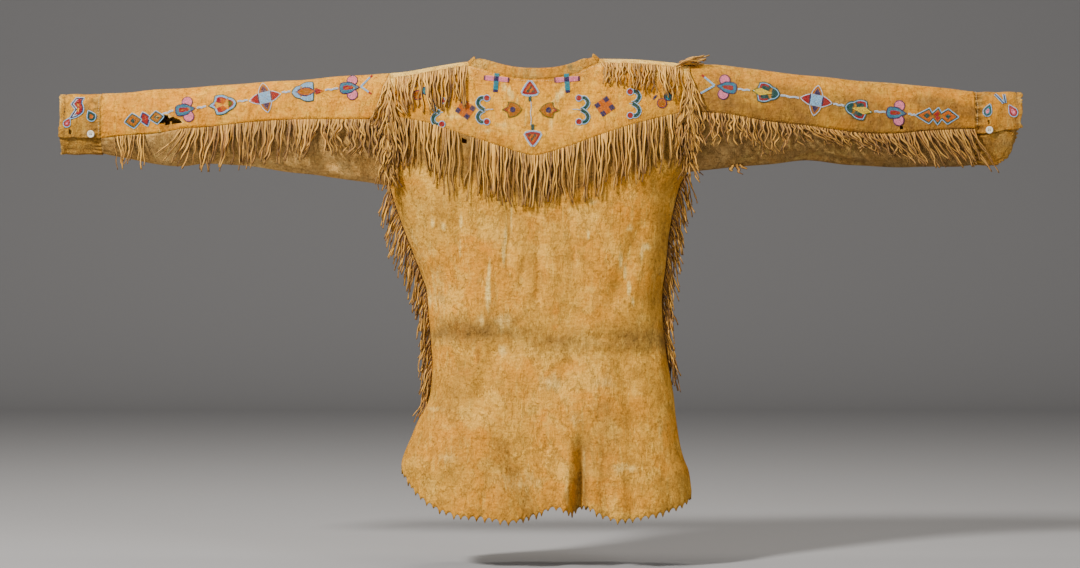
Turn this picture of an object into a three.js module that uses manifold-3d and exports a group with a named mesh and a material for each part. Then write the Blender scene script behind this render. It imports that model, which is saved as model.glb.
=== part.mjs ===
// A beaded hide shirt in its worn form, in millimetres: a long pullover of smoked hide with a
// V-shaped yoke, two-panel sleeves, open cuffs, a standing neck band and cut fringe in its seams.
// +Z is up and the front faces -Y. The origin is the middle of the shoulder line.

import * as THREE from 'three';
import { mergeVertices } from 'three/addons/utils/BufferGeometryUtils.js';
import Module from 'manifold-3d';

const wasm = await Module();
wasm.setup();

// ---------------------------------------------------------------- driving dimensions

const HIDE = 2; // wall of the hide
const SEAM = 0.3; // gap between two pieces that are sewn together
const FRINGE_HIDE = 1.3; // thickness of a fringe strip
const ROLL = 45; // height over which the shoulder rolls from level to upright
const SHOULDER_SEAM_DROP = 10; // the front shoulder seam lies this far below the shoulder line
const EGG = 0.12; // a sleeve is this much fuller above its middle than below
const TOOTH = 8; // length of a saw tooth on the hem

const SHOULDER_COLUMNS = 7; // mesh columns on each shoulder
const NECK_COLUMNS = 20; // mesh columns across the neck
const YOKE_ROWS = 4;
const ARMHOLE_ROWS = 5; // rows of the front beside the armholes
const SKIRT_ROWS = 10; // rows from the underarm to the hem
const SLEEVE_STATIONS = 12;
const CUFF_STATIONS = 3;

// Height of the shoulder line.
const RIDGE = [
  { x: -256, z: -24 },
  { x: -225, z: -21 },
  { x: -174, z: -12 },
  { x: -120, z: -4 },
  { x: -60, z: 0 },
  { x: 60, z: 2 },
  { x: 113, z: 1 },
  { x: 169, z: 0 },
  { x: 229, z: -5 },
  { x: 262, z: -9 },
];

// Half depth of the body at its middle.
const BODY_DEPTH = [
  { z: -800, half: 80 },
  { z: -640, half: 73 },
  { z: -480, half: 67 },
  { z: -330, half: 72 },
  { z: -200, half: 75 },
  { z: -90, half: 63 },
  { z: -40, half: 56 },
  { z: 5, half: 55 },
];

// The upright armholes, and the side seams below them.
const LEFT_ARM = {
  sign: -1,
  plane: -256,
  top: -24,
  bottom: -220,
  depth: 48,
  side: [
    { z: -727, x: -233 },
    { z: -710, x: -236 },
    { z: -693, x: -234 },
    { z: -659, x: -220 },
    { z: -624, x: -205 },
    { z: -590, x: -188 },
    { z: -537, x: -182 },
    { z: -509, x: -183 },
    { z: -440, x: -189 },
    { z: -402, x: -192 },
    { z: -380, x: -199 },
    { z: -351, x: -210 },
    { z: -315, x: -224 },
    { z: -260, x: -244 },
    { z: -220, x: -256 },
  ],
};
const RIGHT_ARM = {
  sign: 1,
  plane: 262,
  top: -9,
  bottom: -196,
  depth: 48,
  side: [
    { z: -757, x: 270 },
    { z: -715, x: 264 },
    { z: -695, x: 256 },
    { z: -669, x: 249 },
    { z: -624, x: 242 },
    { z: -578, x: 237 },
    { z: -523, x: 227 },
    { z: -468, x: 220 },
    { z: -413, x: 218 },
    { z: -351, x: 225 },
    { z: -311, x: 229 },
    { z: -263, x: 237 },
    { z: -218, x: 249 },
    { z: -196, x: 262 },
  ],
};

// Drop of the front neck edge below the shoulder line.
const FRONT_NECK = [
  { x: -117, drop: 10 },
  { x: -90, drop: 20 },
  { x: -67, drop: 29 },
  { x: -40, drop: 36 },
  { x: -12, drop: 39 },
  { x: 20, drop: 39 },
  { x: 43, drop: 36 },
  { x: 70, drop: 28 },
  { x: 91, drop: 17 },
  { x: 106, drop: 10 },
];

// The neck edge of the back, from one front shoulder seam over the shoulders to the other.
// `share` is the part of its length and `over` the way past the shoulder line.
const BACK_NECK = [
  { share: 0, x: -117, over: -30.6 },
  { share: 0.09, x: -120, over: 0 },
  { share: 0.18, x: -114, over: 30 },
  { share: 0.27, x: -90, over: 52 },
  { share: 0.41, x: -40, over: 71 },
  { share: 0.5, x: -5, over: 75 },
  { share: 0.59, x: 30, over: 71 },
  { share: 0.73, x: 80, over: 52 },
  { share: 0.82, x: 103, over: 30 },
  { share: 0.91, x: 109, over: 0 },
  { share: 1, x: 106, over: -30.6 },
];

// Height of the V seam between yoke and front.
const YOKE_SEAM = [
  { x: -256, z: -99 },
  { x: -186, z: -114 },
  { x: -131, z: -132 },
  { x: -67, z: -153 },
  { x: -27, z: -166 },
  { x: 0, z: -170 },
  { x: 52, z: -155 },
  { x: 91, z: -141 },
  { x: 131, z: -127 },
  { x: 169, z: -115 },
  { x: 208, z: -105 },
  { x: 262, z: -91 },
];

// Height of the hem at the root of its teeth, front and back.
const FRONT_HEM = [
  { x: -236, z: -708 },
  { x: -225, z: -731 },
  { x: -205, z: -753 },
  { x: -177, z: -772 },
  { x: -136, z: -785 },
  { x: -95, z: -788 },
  { x: -45, z: -794 },
  { x: -8, z: -785 },
  { x: 30, z: -770 },
  { x: 60, z: -780 },
  { x: 82, z: -769 },
  { x: 113, z: -785 },
  { x: 140, z: -792 },
  { x: 191, z: -786 },
  { x: 242, z: -773 },
  { x: 262, z: -763 },
  { x: 270, z: -750 },
];
const BACK_HEM = [
  { x: -236, z: -708 },
  { x: -215, z: -735 },
  { x: -160, z: -768 },
  { x: -60, z: -780 },
  { x: 40, z: -776 },
  { x: 120, z: -784 },
  { x: 210, z: -778 },
  { x: 255, z: -765 },
  { x: 270, z: -750 },
];

// Folds that run down to the hem: where each starts and ends, its width and its depth at the end.
const FRONT_FOLDS = [
  { x: 82, z: -600, toX: 70, toZ: -780, width: 15, depth: 25 },
  { x: 58, z: -620, toX: 46, toZ: -780, width: 10, depth: -5 },
  { x: 112, z: -590, toX: 118, toZ: -780, width: 13, depth: 8 },
  { x: -112, z: -560, toX: -12, toZ: -780, width: 22, depth: 11 },
  { x: -190, z: -620, toX: -182, toZ: -760, width: 18, depth: 6 },
];
const BACK_FOLDS = [
  { x: -70, z: -560, toX: -92, toZ: -780, width: 18, depth: 18 },
  { x: 30, z: -600, toX: 42, toZ: -780, width: 16, depth: 10 },
  { x: 150, z: -540, toX: 172, toZ: -780, width: 22, depth: 14 },
];

// Sleeves from armhole to cuff: top and bottom line, the fringed front seam, and half depth.
const LEFT_SLEEVE = [
  { x: -755, top: -59, bottom: -164, seam: -138, half: 25 },
  { x: -705, top: -57, bottom: -174, seam: -133, half: 28 },
  { x: -666, top: -53, bottom: -181, seam: -131, half: 31 },
  { x: -617, top: -50, bottom: -186, seam: -123, half: 34 },
  { x: -571, top: -47, bottom: -181, seam: -120, half: 36 },
  { x: -499, top: -41, bottom: -186, seam: -112, half: 39 },
  { x: -416, top: -36, bottom: -198, seam: -107, half: 42 },
  { x: -334, top: -29, bottom: -208, seam: -107, half: 45 },
  { x: -256, top: -24, bottom: -220, seam: -107, half: 48 },
];
const RIGHT_SLEEVE = [
  { x: 262, top: -9, bottom: -196, seam: -95, half: 48 },
  { x: 322, top: -10, bottom: -189, seam: -97, half: 46 },
  { x: 363, top: -15, bottom: -186, seam: -104, half: 44 },
  { x: 404, top: -21, bottom: -182, seam: -111, half: 42 },
  { x: 471, top: -28, bottom: -176, seam: -118, half: 39 },
  { x: 549, top: -36, bottom: -184, seam: -129, half: 36 },
  { x: 611, top: -41, bottom: -187, seam: -131, half: 33 },
  { x: 673, top: -46, bottom: -187, seam: -126, half: 31 },
  { x: 734, top: -53, bottom: -186, seam: -123, half: 28 },
  { x: 758, top: -55, bottom: -184, seam: -123, half: 27 },
];
const BACK_SEAM_ANGLE = THREE.MathUtils.degToRad(112); // plain seam behind each sleeve

// Cuffs: an open band whose front edge hangs free over the lower back part.
const LEFT_CUFF = { from: -755, to: -829, top: -60, bottom: -166, half: 25, slant: 0, edge: [-138, -137] };
const RIGHT_CUFF = { from: 758, to: 843, top: -56, bottom: -185, half: 27, slant: 42, edge: [-132, -121] };

const COLLAR_HEIGHT = { front: 19, side: 14.5, back: 17 };
const BUTTON = { radius: 6.3, thick: 2.2 };

// ---------------------------------------------------------------- small maths

const lerp = (a, b, t) => a + (b - a) * t;
const clamp01 = (t) => Math.min(1, Math.max(0, t));
const smooth = (t) => clamp01(t) ** 2 * (3 - 2 * clamp01(t));
const bell = (distance, width) => Math.exp(-((distance / width) ** 2));
const vec = (x, y, z) => new THREE.Vector3(x, y, z);

/** Smooth curve through one column of a table whose rows ascend in `key`. */
function along(rows, key, column, at) {
  const last = rows.length - 1;
  if (at <= rows[0][key]) return rows[0][column];
  if (at >= rows[last][key]) return rows[last][column];
  let i = 0;
  while (rows[i + 1][key] < at) i += 1;
  const slope = (k) => {
    const a = rows[Math.max(0, k - 1)];
    const b = rows[Math.min(last, k + 1)];
    return (b[column] - a[column]) / (b[key] - a[key]);
  };
  const span = rows[i + 1][key] - rows[i][key];
  const t = (at - rows[i][key]) / span;
  const rise = t * t * (3 - 2 * t);
  const bend = t * (1 - t) ** 2 * slope(i) - t * t * (1 - t) * slope(i + 1);
  return lerp(rows[i][column], rows[i + 1][column], rise) + bend * span;
}

// ---------------------------------------------------------------- solids from points

/** Collects points and faces, and gives a closed geometry whose faces point out. */
class Shell {
  constructor() {
    this.points = [];
    this.faces = [];
  }

  quad(a, b, c, d) {
    this.tri(a, b, c);
    this.tri(a, c, d);
  }

  tri(a, b, c) {
    this.faces.push([a, b, c]);
  }

  geometry() {
    const volume = this.faces.reduce((sum, [a, b, c]) => sum + a.dot(b.clone().cross(c)), 0);
    const turned = volume < 0 ? this.faces.map(([a, b, c]) => [a, c, b]) : this.faces;
    const flat = turned.flatMap((face) => face.flatMap((p) => [p.x, p.y, p.z]));
    const geometry = new THREE.BufferGeometry();
    geometry.setAttribute('position', new THREE.Float32BufferAttribute(flat, 3));
    return mergeVertices(geometry, 1e-3);
  }
}

/** Unit normals of a grid of points, pointing away from `core`. */
function gridNormals(grid, core) {
  const rows = grid.length - 1;
  const columns = grid[0].length - 1;
  const normals = grid.map((row, i) => row.map((_, j) => {
    const across = grid[i][Math.min(columns, j + 1)].clone().sub(grid[i][Math.max(0, j - 1)]);
    const down = grid[Math.min(rows, i + 1)][j].clone().sub(grid[Math.max(0, i - 1)][j]);
    return across.cross(down).normalize();
  }));
  const i = Math.floor(rows / 2);
  const j = Math.floor(columns / 2);
  const outward = normals[i][j].dot(grid[i][j].clone().sub(core)) > 0 ? 1 : -1;
  normals.forEach((row) => row.forEach((n) => n.multiplyScalar(outward)));
  return normals;
}

/**
 * A wall of hide: the grid is its outer face and the inner face lies HIDE below it.
 * `square(n, i, j)` may flatten a normal at a seam, so that both faces end in the seam's plane.
 * With `tooth`, each column of the last row ends in a saw tooth.
 */
function hideWall(grid, core, { square = () => {}, tooth = 0, normals = gridNormals(grid, core) } = {}) {
  normals.forEach((row, i) => row.forEach((n, j) => square(n, i, j)));
  const inner = grid.map((row, i) => row.map((p, j) => p.clone().addScaledVector(normals[i][j], -HIDE)));
  const rows = grid.length - 1;
  const columns = grid[0].length - 1;
  const shell = new Shell();
  for (let i = 0; i < rows; i += 1) {
    for (let j = 0; j < columns; j += 1) {
      shell.quad(grid[i][j], grid[i][j + 1], grid[i + 1][j + 1], grid[i + 1][j]);
      shell.quad(inner[i + 1][j], inner[i + 1][j + 1], inner[i][j + 1], inner[i][j]);
    }
    shell.quad(grid[i][0], grid[i + 1][0], inner[i + 1][0], inner[i][0]);
    shell.quad(inner[i][columns], inner[i + 1][columns], grid[i + 1][columns], grid[i][columns]);
  }
  for (let j = 0; j < columns; j += 1) {
    shell.quad(inner[0][j], inner[0][j + 1], grid[0][j + 1], grid[0][j]);
    const [a, b, c, d] = [grid[rows][j], grid[rows][j + 1], inner[rows][j + 1], inner[rows][j]];
    if (tooth === 0) {
      shell.quad(a, b, c, d);
    } else {
      const fall = a.clone().add(b).sub(grid[rows - 1][j]).sub(grid[rows - 1][j + 1]).setLength(tooth);
      const tip = a.clone().add(b).multiplyScalar(0.5).add(fall);
      const innerTip = c.clone().add(d).multiplyScalar(0.5).add(fall);
      shell.tri(a, b, tip);
      shell.tri(d, innerTip, c);
      shell.quad(a, tip, innerTip, d);
      shell.quad(tip, b, c, innerTip);
    }
  }
  return { geometry: shell.geometry(), outer: grid, inner, normals };
}

/** Takes a geometry as a manifold solid. */
function solidOf(geometry) {
  return new wasm.Manifold(new wasm.Mesh({
    numProp: 3,
    vertProperties: new Float32Array(geometry.attributes.position.array),
    triVerts: new Uint32Array(geometry.index.array),
  }));
}

/** Cuts ragged holes through the front of a piece: each is a prism along Y with a wavy outline. */
function cutHoles(geometry, holes) {
  let solid = solidOf(geometry);
  holes.forEach(({ x, z, wide, high, ragged = 0, corners = 12 }) => {
    const outline = Array.from({ length: corners }, (_, k) => {
      const angle = (k / corners) * 2 * Math.PI;
      const reach = 1 + ragged * Math.sin(3 * angle + x) * Math.cos(5 * angle);
      return new THREE.Vector2((reach * Math.cos(angle) * wide) / 2, (reach * Math.sin(angle) * high) / 2);
    });
    const prism = new THREE.ExtrudeGeometry(new THREE.Shape(outline), { depth: 120, bevelEnabled: false });
    prism.deleteAttribute('normal');
    prism.deleteAttribute('uv');
    prism.rotateX(Math.PI / 2).translate(x, -4, z);
    solid = solid.subtract(solidOf(mergeVertices(prism, 1e-3)));
  });
  const mesh = solid.getMesh();
  const cut = new THREE.BufferGeometry();
  cut.setAttribute('position', new THREE.Float32BufferAttribute(mesh.vertProperties, 3));
  cut.setIndex(Array.from(mesh.triVerts));
  return cut;
}

// ---------------------------------------------------------------- form of the body

const ridge = (x) => along(RIDGE, 'x', 'z', x);
const armAt = (x) => (x < 0 ? LEFT_ARM : RIGHT_ARM);

/** Side edge of the body: the plane of the armhole, and below the underarm the side seam. */
function sideX(arm, z) {
  const x = z >= arm.bottom ? arm.plane : along(arm.side, 'z', 'x', z);
  return x - (arm.sign * SEAM) / 2;
}

/** Half depth of the armhole's egg-shaped ring at a drop below its top. */
function armholeDepth(arm, drop) {
  const rise = 1 - (2 * drop) / (arm.top - arm.bottom);
  return Math.abs(rise) >= 1 ? 0 : arm.depth * Math.sqrt(1 - rise * rise) * (1 + EGG * rise);
}

/** How far the folds draw the cloth in at a place. */
function foldDepth(folds, x, z) {
  return folds.reduce((sum, fold) => {
    const t = Math.min(1.2, (z - fold.z) / (fold.toZ - fold.z));
    return sum + (t <= 0 ? 0 : fold.depth * smooth(t) * bell(x - lerp(fold.x, fold.toX, t), fold.width));
  }, 0);
}

/**
 * Half depth of the body. From the side edge it rises to its full depth over `reach`: as a quarter
 * ellipse at the side seams and as a parabola from the depth of the armhole's ring.
 */
function bodyDepth(face, x, z) {
  const arm = armAt(x);
  const drop = ridge(x) - z;
  if (drop <= 0) return 0;
  const reach = 140;
  const turn = clamp01((arm.sign * (sideX(arm, z) - x)) / reach);
  const beside = smooth((z - arm.bottom) / 90);
  const rounding = (turn * (2 - turn)) ** lerp(0.5, 1, beside);
  const roll = drop < ROLL ? Math.sqrt(1 - (1 - drop / ROLL) ** 2) : 1;
  const full = along(BODY_DEPTH, 'z', 'half', z) * roll;
  const folds = foldDepth(face < 0 ? FRONT_FOLDS : BACK_FOLDS, x, z);
  return lerp(armholeDepth(arm, drop), full - folds, rounding);
}

/** Point on the outside of the body; below the shoulders it keeps clear of the side seam's plane. */
function bodyPoint(face, x, z) {
  const least = ridge(x) - z > ROLL ? SEAM / 2 : 0;
  return vec(x, face * Math.max(bodyDepth(face, x, z), least), z);
}

/** Outward unit normal there, from the slopes of the body's depth. */
function bodyNormal(face, x, z) {
  const step = 0.4;
  if (ridge(x) - z < step) return vec(0, 0, 1);
  const slopeX = (bodyDepth(face, x + step, z) - bodyDepth(face, x - step, z)) / (2 * step);
  const slopeZ = (bodyDepth(face, x, z + step) - bodyDepth(face, x, z - step)) / (2 * step);
  return vec(-slopeX, face, -slopeZ).normalize();
}

/** Drop below the shoulder line after a way `over` it, along the roll and then straight down. */
function dropOver(over) {
  const turn = Math.abs(over) / ROLL;
  return turn < Math.PI / 2 ? ROLL * (1 - Math.cos(turn)) : ROLL * (1 + turn - Math.PI / 2);
}

/** The way over the shoulder that gives a drop. */
function overFor(drop) {
  return drop < ROLL ? ROLL * Math.acos(1 - drop / ROLL) : ROLL * (Math.PI / 2 - 1) + drop;
}

/** Fractions that space `count` columns evenly along a curve given for fractions 0 to 1. */
function evenFractions(count, curve) {
  const steps = 400;
  const lengths = [0];
  let last = curve(0);
  for (let k = 1; k <= steps; k += 1) {
    const next = curve(k / steps);
    lengths.push(lengths[k - 1] + next.distanceTo(last));
    last = next;
  }
  return Array.from({ length: count + 1 }, (_, j) => {
    const wanted = (lengths[steps] * j) / count;
    let k = 1;
    while (k < steps && lengths[k] < wanted) k += 1;
    return (k - 1 + (wanted - lengths[k - 1]) / (lengths[k] - lengths[k - 1])) / steps;
  });
}

const COLUMNS = 2 * SHOULDER_COLUMNS + NECK_COLUMNS;
const NECK_LEFT = FRONT_NECK[0].x;
const NECK_RIGHT = FRONT_NECK[FRONT_NECK.length - 1].x;
const TOP_LEFT = sideX(LEFT_ARM, 0);
const TOP_RIGHT = sideX(RIGHT_ARM, 0);
const FIRST_NECK = SHOULDER_COLUMNS;
const LAST_NECK = SHOULDER_COLUMNS + NECK_COLUMNS;

/** X of each column along the shoulder seams and the front neck edge. */
const topX = Array.from({ length: COLUMNS + 1 }, (_, j) => {
  if (j <= FIRST_NECK) return lerp(TOP_LEFT, NECK_LEFT, j / SHOULDER_COLUMNS);
  if (j >= LAST_NECK) return lerp(NECK_RIGHT, TOP_RIGHT, (j - LAST_NECK) / SHOULDER_COLUMNS);
  return lerp(NECK_LEFT, NECK_RIGHT, (j - FIRST_NECK) / NECK_COLUMNS);
});
const topShare = topX.map((x) => (x - TOP_LEFT) / (TOP_RIGHT - TOP_LEFT));

const HEM_LEFT = FRONT_HEM[0].x;
const HEM_RIGHT = FRONT_HEM[FRONT_HEM.length - 1].x;
const shoulderOver = overFor(SHOULDER_SEAM_DROP);

/** Heights of the rows down one side edge: eased to the underarm, then even to the hem. */
function sideHeights(arm, startZ, hemZ, armholeRows) {
  const half = (arm.top - arm.bottom) / 2;
  const start = Math.acos((startZ - arm.bottom) / half - 1);
  const beside = Array.from({ length: armholeRows }, (_, i) => (
    arm.bottom + half * (1 + Math.cos(lerp(start, Math.PI, i / armholeRows)))));
  const below = Array.from({ length: SKIRT_ROWS + 1 }, (_, i) => lerp(arm.bottom, hemZ, i / SKIRT_ROWS));
  return [...beside, ...below];
}

/** Keeps both faces of a wall in the plane of its side seam or armhole. */
function squareSides(grid) {
  const columns = grid[0].length - 1;
  return (n, i, j) => {
    if (j !== 0 && j !== columns) return;
    if (Math.abs(grid[i][j].y) < SEAM) n.y = 0;
    else n.x = 0;
    n.normalize();
  };
}

const BODY_CORE = vec(0, 0, -300);

function makeYoke() {
  const grid = Array.from({ length: YOKE_ROWS + 1 }, (_, i) => topX.map((x, j) => {
    const onShoulder = j <= FIRST_NECK || j >= LAST_NECK;
    const drop = onShoulder ? dropOver(shoulderOver + SEAM / 2) : along(FRONT_NECK, 'x', 'drop', x);
    const seamZ = along(YOKE_SEAM, 'x', 'z', x) + SEAM / 2;
    return bodyPoint(-1, x, lerp(ridge(x) - drop, seamZ, i / YOKE_ROWS));
  }));
  const normals = grid.map((row) => row.map((p) => bodyNormal(-1, p.x, p.z)));
  return hideWall(grid, BODY_CORE, { normals, square: squareSides(grid) });
}

function makeFront() {
  const hemPoint = (s) => {
    const x = lerp(HEM_LEFT, HEM_RIGHT, s);
    return bodyPoint(-1, x, along(FRONT_HEM, 'x', 'z', x));
  };
  const hemShare = evenFractions(COLUMNS, hemPoint);
  const left = sideHeights(LEFT_ARM, YOKE_SEAM[0].z, FRONT_HEM[0].z, ARMHOLE_ROWS);
  const right = sideHeights(RIGHT_ARM, YOKE_SEAM.at(-1).z, FRONT_HEM.at(-1).z, ARMHOLE_ROWS);
  const part = (heights, i) => (heights[i] - heights[0]) / (heights.at(-1) - heights[0]);
  const grid = left.map((_, i) => topX.map((xTop, j) => {
    const blend = smooth(i / ARMHOLE_ROWS);
    const share = lerp(topShare[j], hemShare[j], blend);
    const t = lerp(part(left, i), part(right, i), share);
    const hemX = lerp(HEM_LEFT, HEM_RIGHT, hemShare[j]);
    const seamZ = along(YOKE_SEAM, 'x', 'z', xTop) - SEAM / 2;
    const z = lerp(seamZ, along(FRONT_HEM, 'x', 'z', hemX), t);
    return bodyPoint(-1, lerp(sideX(LEFT_ARM, z), sideX(RIGHT_ARM, z), share), z);
  }));
  const normals = grid.map((row) => row.map((p) => bodyNormal(-1, p.x, p.z)));
  return hideWall(grid, BODY_CORE, { normals, square: squareSides(grid), tooth: TOOTH });
}

function makeBack() {
  const start = topX.map((x, j) => {
    if (j <= FIRST_NECK || j >= LAST_NECK) return { x, over: -(shoulderOver - SEAM / 2) };
    const share = (j - FIRST_NECK) / NECK_COLUMNS;
    return { x: along(BACK_NECK, 'share', 'x', share), over: along(BACK_NECK, 'share', 'over', share) };
  });
  const hemPoint = (s) => {
    const x = lerp(HEM_LEFT, HEM_RIGHT, s);
    return bodyPoint(1, x, along(BACK_HEM, 'x', 'z', x));
  };
  const hemShare = evenFractions(COLUMNS, hemPoint);
  const turns = [-26, -9, 9, 27, 47, 70, 95, 120, 143, 163, 180].map(THREE.MathUtils.degToRad);
  const ways = (arm, hemZ) => {
    const half = (arm.top - arm.bottom) / 2;
    const beside = turns.map((a) => Math.sign(a) * overFor(half * (1 - Math.cos(a))));
    const underarm = beside.at(-1);
    const hem = overFor(arm.top - hemZ);
    const below = Array.from({ length: SKIRT_ROWS }, (_, i) => lerp(underarm, hem, (i + 1) / SKIRT_ROWS));
    return [-(shoulderOver - SEAM / 2), ...beside.slice(1), ...below];
  };
  const left = ways(LEFT_ARM, BACK_HEM[0].z);
  const right = ways(RIGHT_ARM, BACK_HEM.at(-1).z);
  const part = (list, i) => (list[i] - list[0]) / (list.at(-1) - list[0]);
  const places = left.map((_, i) => start.map((top, j) => {
    const toUnderarm = Math.min(1, part(left, i) / part(left, turns.length - 1));
    const topPart = (top.x - TOP_LEFT) / (TOP_RIGHT - TOP_LEFT);
    const share = lerp(topPart, hemShare[j], toUnderarm);
    const t = lerp(part(left, i), part(right, i), share);
    const hemX = lerp(HEM_LEFT, HEM_RIGHT, hemShare[j]);
    const hemOver = overFor(ridge(hemX) - along(BACK_HEM, 'x', 'z', hemX));
    const over = lerp(top.over, hemOver, t);
    const roughX = lerp(TOP_LEFT, TOP_RIGHT, share);
    const z = ridge(roughX) - dropOver(over);
    return { face: over < 0 ? -1 : 1, x: lerp(sideX(LEFT_ARM, z), sideX(RIGHT_ARM, z), share), z };
  }));
  const grid = places.map((row) => row.map(({ face, x, z }) => bodyPoint(face, x, z)));
  const normals = places.map((row) => row.map(({ face, x, z }) => bodyNormal(face, x, z)));
  return hideWall(grid, BODY_CORE, { normals, square: squareSides(grid), tooth: TOOTH });
}

// ---------------------------------------------------------------- sleeves and cuffs

/** The section of a sleeve at x: middle height, half height, half depth and seam angle. */
function sleeveSection(rows, x) {
  const top = along(rows, 'x', 'top', x);
  const bottom = along(rows, 'x', 'bottom', x);
  const middle = (top + bottom) / 2;
  const high = (top - bottom) / 2;
  return {
    middle,
    high,
    half: along(rows, 'x', 'half', x),
    seamAngle: Math.acos((along(rows, 'x', 'seam', x) - middle) / high),
  };
}

/** Point of an egg-shaped section; the angle runs from the top towards the front. */
function eggPoint(x, { middle, high, half }, angle) {
  const y = -half * Math.sin(angle) * (1 + EGG * Math.cos(angle));
  return vec(x, y, middle + high * Math.cos(angle));
}

/** One panel of a sleeve, between two angles that may change along it. */
function makeSleevePanel(rows, arm, wristX, around, angles) {
  const root = arm.plane + (arm.sign * SEAM) / 2;
  const wrist = wristX - (arm.sign * SEAM) / 2;
  const grid = Array.from({ length: SLEEVE_STATIONS + 1 }, (_, i) => {
    const x = lerp(root, wrist, i / SLEEVE_STATIONS);
    const section = sleeveSection(rows, x);
    const [from, to] = angles(section);
    return Array.from({ length: around + 1 }, (__, j) => eggPoint(x, section, lerp(from, to, j / around)));
  });
  const mid = grid[SLEEVE_STATIONS / 2];
  const core = vec(mid[0].x, 0, sleeveSection(rows, mid[0].x).middle);
  const square = (n, i) => {
    if (i !== 0 && i !== SLEEVE_STATIONS) return;
    n.x = 0;
    n.normalize();
  };
  return hideWall(grid, core, { square });
}

const seamTurn = (section) => SEAM / section.high; // seam gap as an angle

const upperAngles = (section) => [-BACK_SEAM_ANGLE + seamTurn(section), section.seamAngle - seamTurn(section)];
const underAngles = (section) => [section.seamAngle + seamTurn(section), 2 * Math.PI - BACK_SEAM_ANGLE - seamTurn(section)];

/** A cuff band: from its free front edge over the top and down the back to its lower edge. */
function makeCuff(cuff) {
  const outward = Math.sign(cuff.to);
  const start = cuff.from + (outward * SEAM) / 2;
  const section = {
    middle: (cuff.top + cuff.bottom) / 2,
    high: (cuff.top - cuff.bottom) / 2,
    half: cuff.half,
  };
  const around = 14;
  const grid = Array.from({ length: CUFF_STATIONS + 1 }, (_, i) => {
    const t = i / CUFF_STATIONS;
    const edgeZ = lerp(cuff.edge[0], cuff.edge[1], t);
    const frontEdge = Math.acos((edgeZ - section.middle) / section.high);
    return Array.from({ length: around + 1 }, (__, j) => {
      const angle = lerp(frontEdge, THREE.MathUtils.degToRad(-172), j / around);
      const behind = smooth((-angle - Math.PI / 2) / (Math.PI / 2));
      const end = cuff.to - outward * cuff.slant * behind;
      return eggPoint(lerp(start, end, t), section, angle);
    });
  });
  const square = (n, i) => {
    if (i !== 0) return;
    n.x = 0;
    n.normalize();
  };
  return hideWall(grid, vec((cuff.from + cuff.to) / 2, 0, section.middle), { square });
}

// ---------------------------------------------------------------- neck band and buttons

/** The neck band stands on the neck edge of yoke and back, and leans towards the neck. */
function makeCollar(yoke, back) {
  const neck = (piece, j) => ({
    outer: piece.outer[0][j],
    inner: piece.inner[0][j],
    away: piece.outer[0][j].clone().sub(piece.outer[1][j]),
  });
  const round = [];
  for (let j = FIRST_NECK; j <= LAST_NECK; j += 1) round.push(neck(yoke, j));
  for (let j = LAST_NECK; j >= FIRST_NECK; j -= 1) round.push(neck(back, j));
  const count = round.length;
  const up = vec(0, 0, 1);
  const ways = round.map(({ outer, inner, away }, k) => {
    const edge = round[(k + 1) % count].outer.clone().sub(round[(k + count - 1) % count].outer).normalize();
    const thick = outer.clone().sub(inner).normalize();
    const off = thick.clone().cross(edge).normalize();
    return { edge, thick, off: off.dot(away) < 0 ? off.negate() : off };
  });
  const rings = round.map(({ outer, inner }, k) => {
    const { edge, thick } = ways[k];
    const off = ways[k].off.clone().multiplyScalar(2)
      .add(ways[(k + 1) % count].off).add(ways[(k + count - 1) % count].off).normalize();
    const height = outer.z > -SHOULDER_SEAM_DROP * 1.6 ? COLLAR_HEIGHT.side
      : outer.y < 0 ? COLLAR_HEIGHT.front : COLLAR_HEIGHT.back;
    const rise = off.clone().multiplyScalar(0.75).addScaledVector(up, 0.65).normalize();
    const wall = rise.clone().cross(edge).normalize();
    if (wall.dot(thick) < 0) wall.negate();
    const foot = outer.clone().addScaledVector(off, SEAM);
    const head = foot.clone().addScaledVector(rise, height);
    return [foot, head, head.clone().addScaledVector(wall, -HIDE), inner.clone().addScaledVector(off, SEAM)];
  });
  const shell = new Shell();
  rings.forEach((ring, k) => {
    const next = rings[(k + 1) % count];
    for (let m = 0; m < 4; m += 1) shell.quad(ring[m], next[m], next[(m + 1) % 4], ring[(m + 1) % 4]);
  });
  return shell.geometry();
}

/** A round button lying on a cuff: a lathed disc with a raised rim. */
function makeButton(cuff, x, z) {
  const section = {
    middle: (cuff.top + cuff.bottom) / 2,
    high: (cuff.top - cuff.bottom) / 2,
    half: cuff.half,
  };
  const angle = Math.acos((z - section.middle) / section.high);
  const at = eggPoint(x, section, angle);
  const step = eggPoint(x, section, angle + 0.01).sub(at).normalize();
  const outward = vec(1, 0, 0).cross(step).normalize();
  if (outward.y > 0) outward.negate();
  const { radius, thick } = BUTTON;
  const profile = [[0, 0], [radius * 0.92, 0], [radius, thick * 0.5], [radius * 0.94, thick],
    [radius * 0.7, thick], [radius * 0.6, thick * 0.75], [0, thick * 0.75]];
  const button = new THREE.LatheGeometry(profile.map(([r, h]) => new THREE.Vector2(r, h)), 16);
  button.deleteAttribute('normal');
  button.deleteAttribute('uv');
  button.applyQuaternion(new THREE.Quaternion().setFromUnitVectors(vec(0, 1, 0), outward));
  at.addScaledVector(outward, 2 * SEAM);
  button.translate(at.x, at.y, at.z);
  return mergeVertices(button, 1e-3);
}

// ---------------------------------------------------------------- fringes

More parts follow.
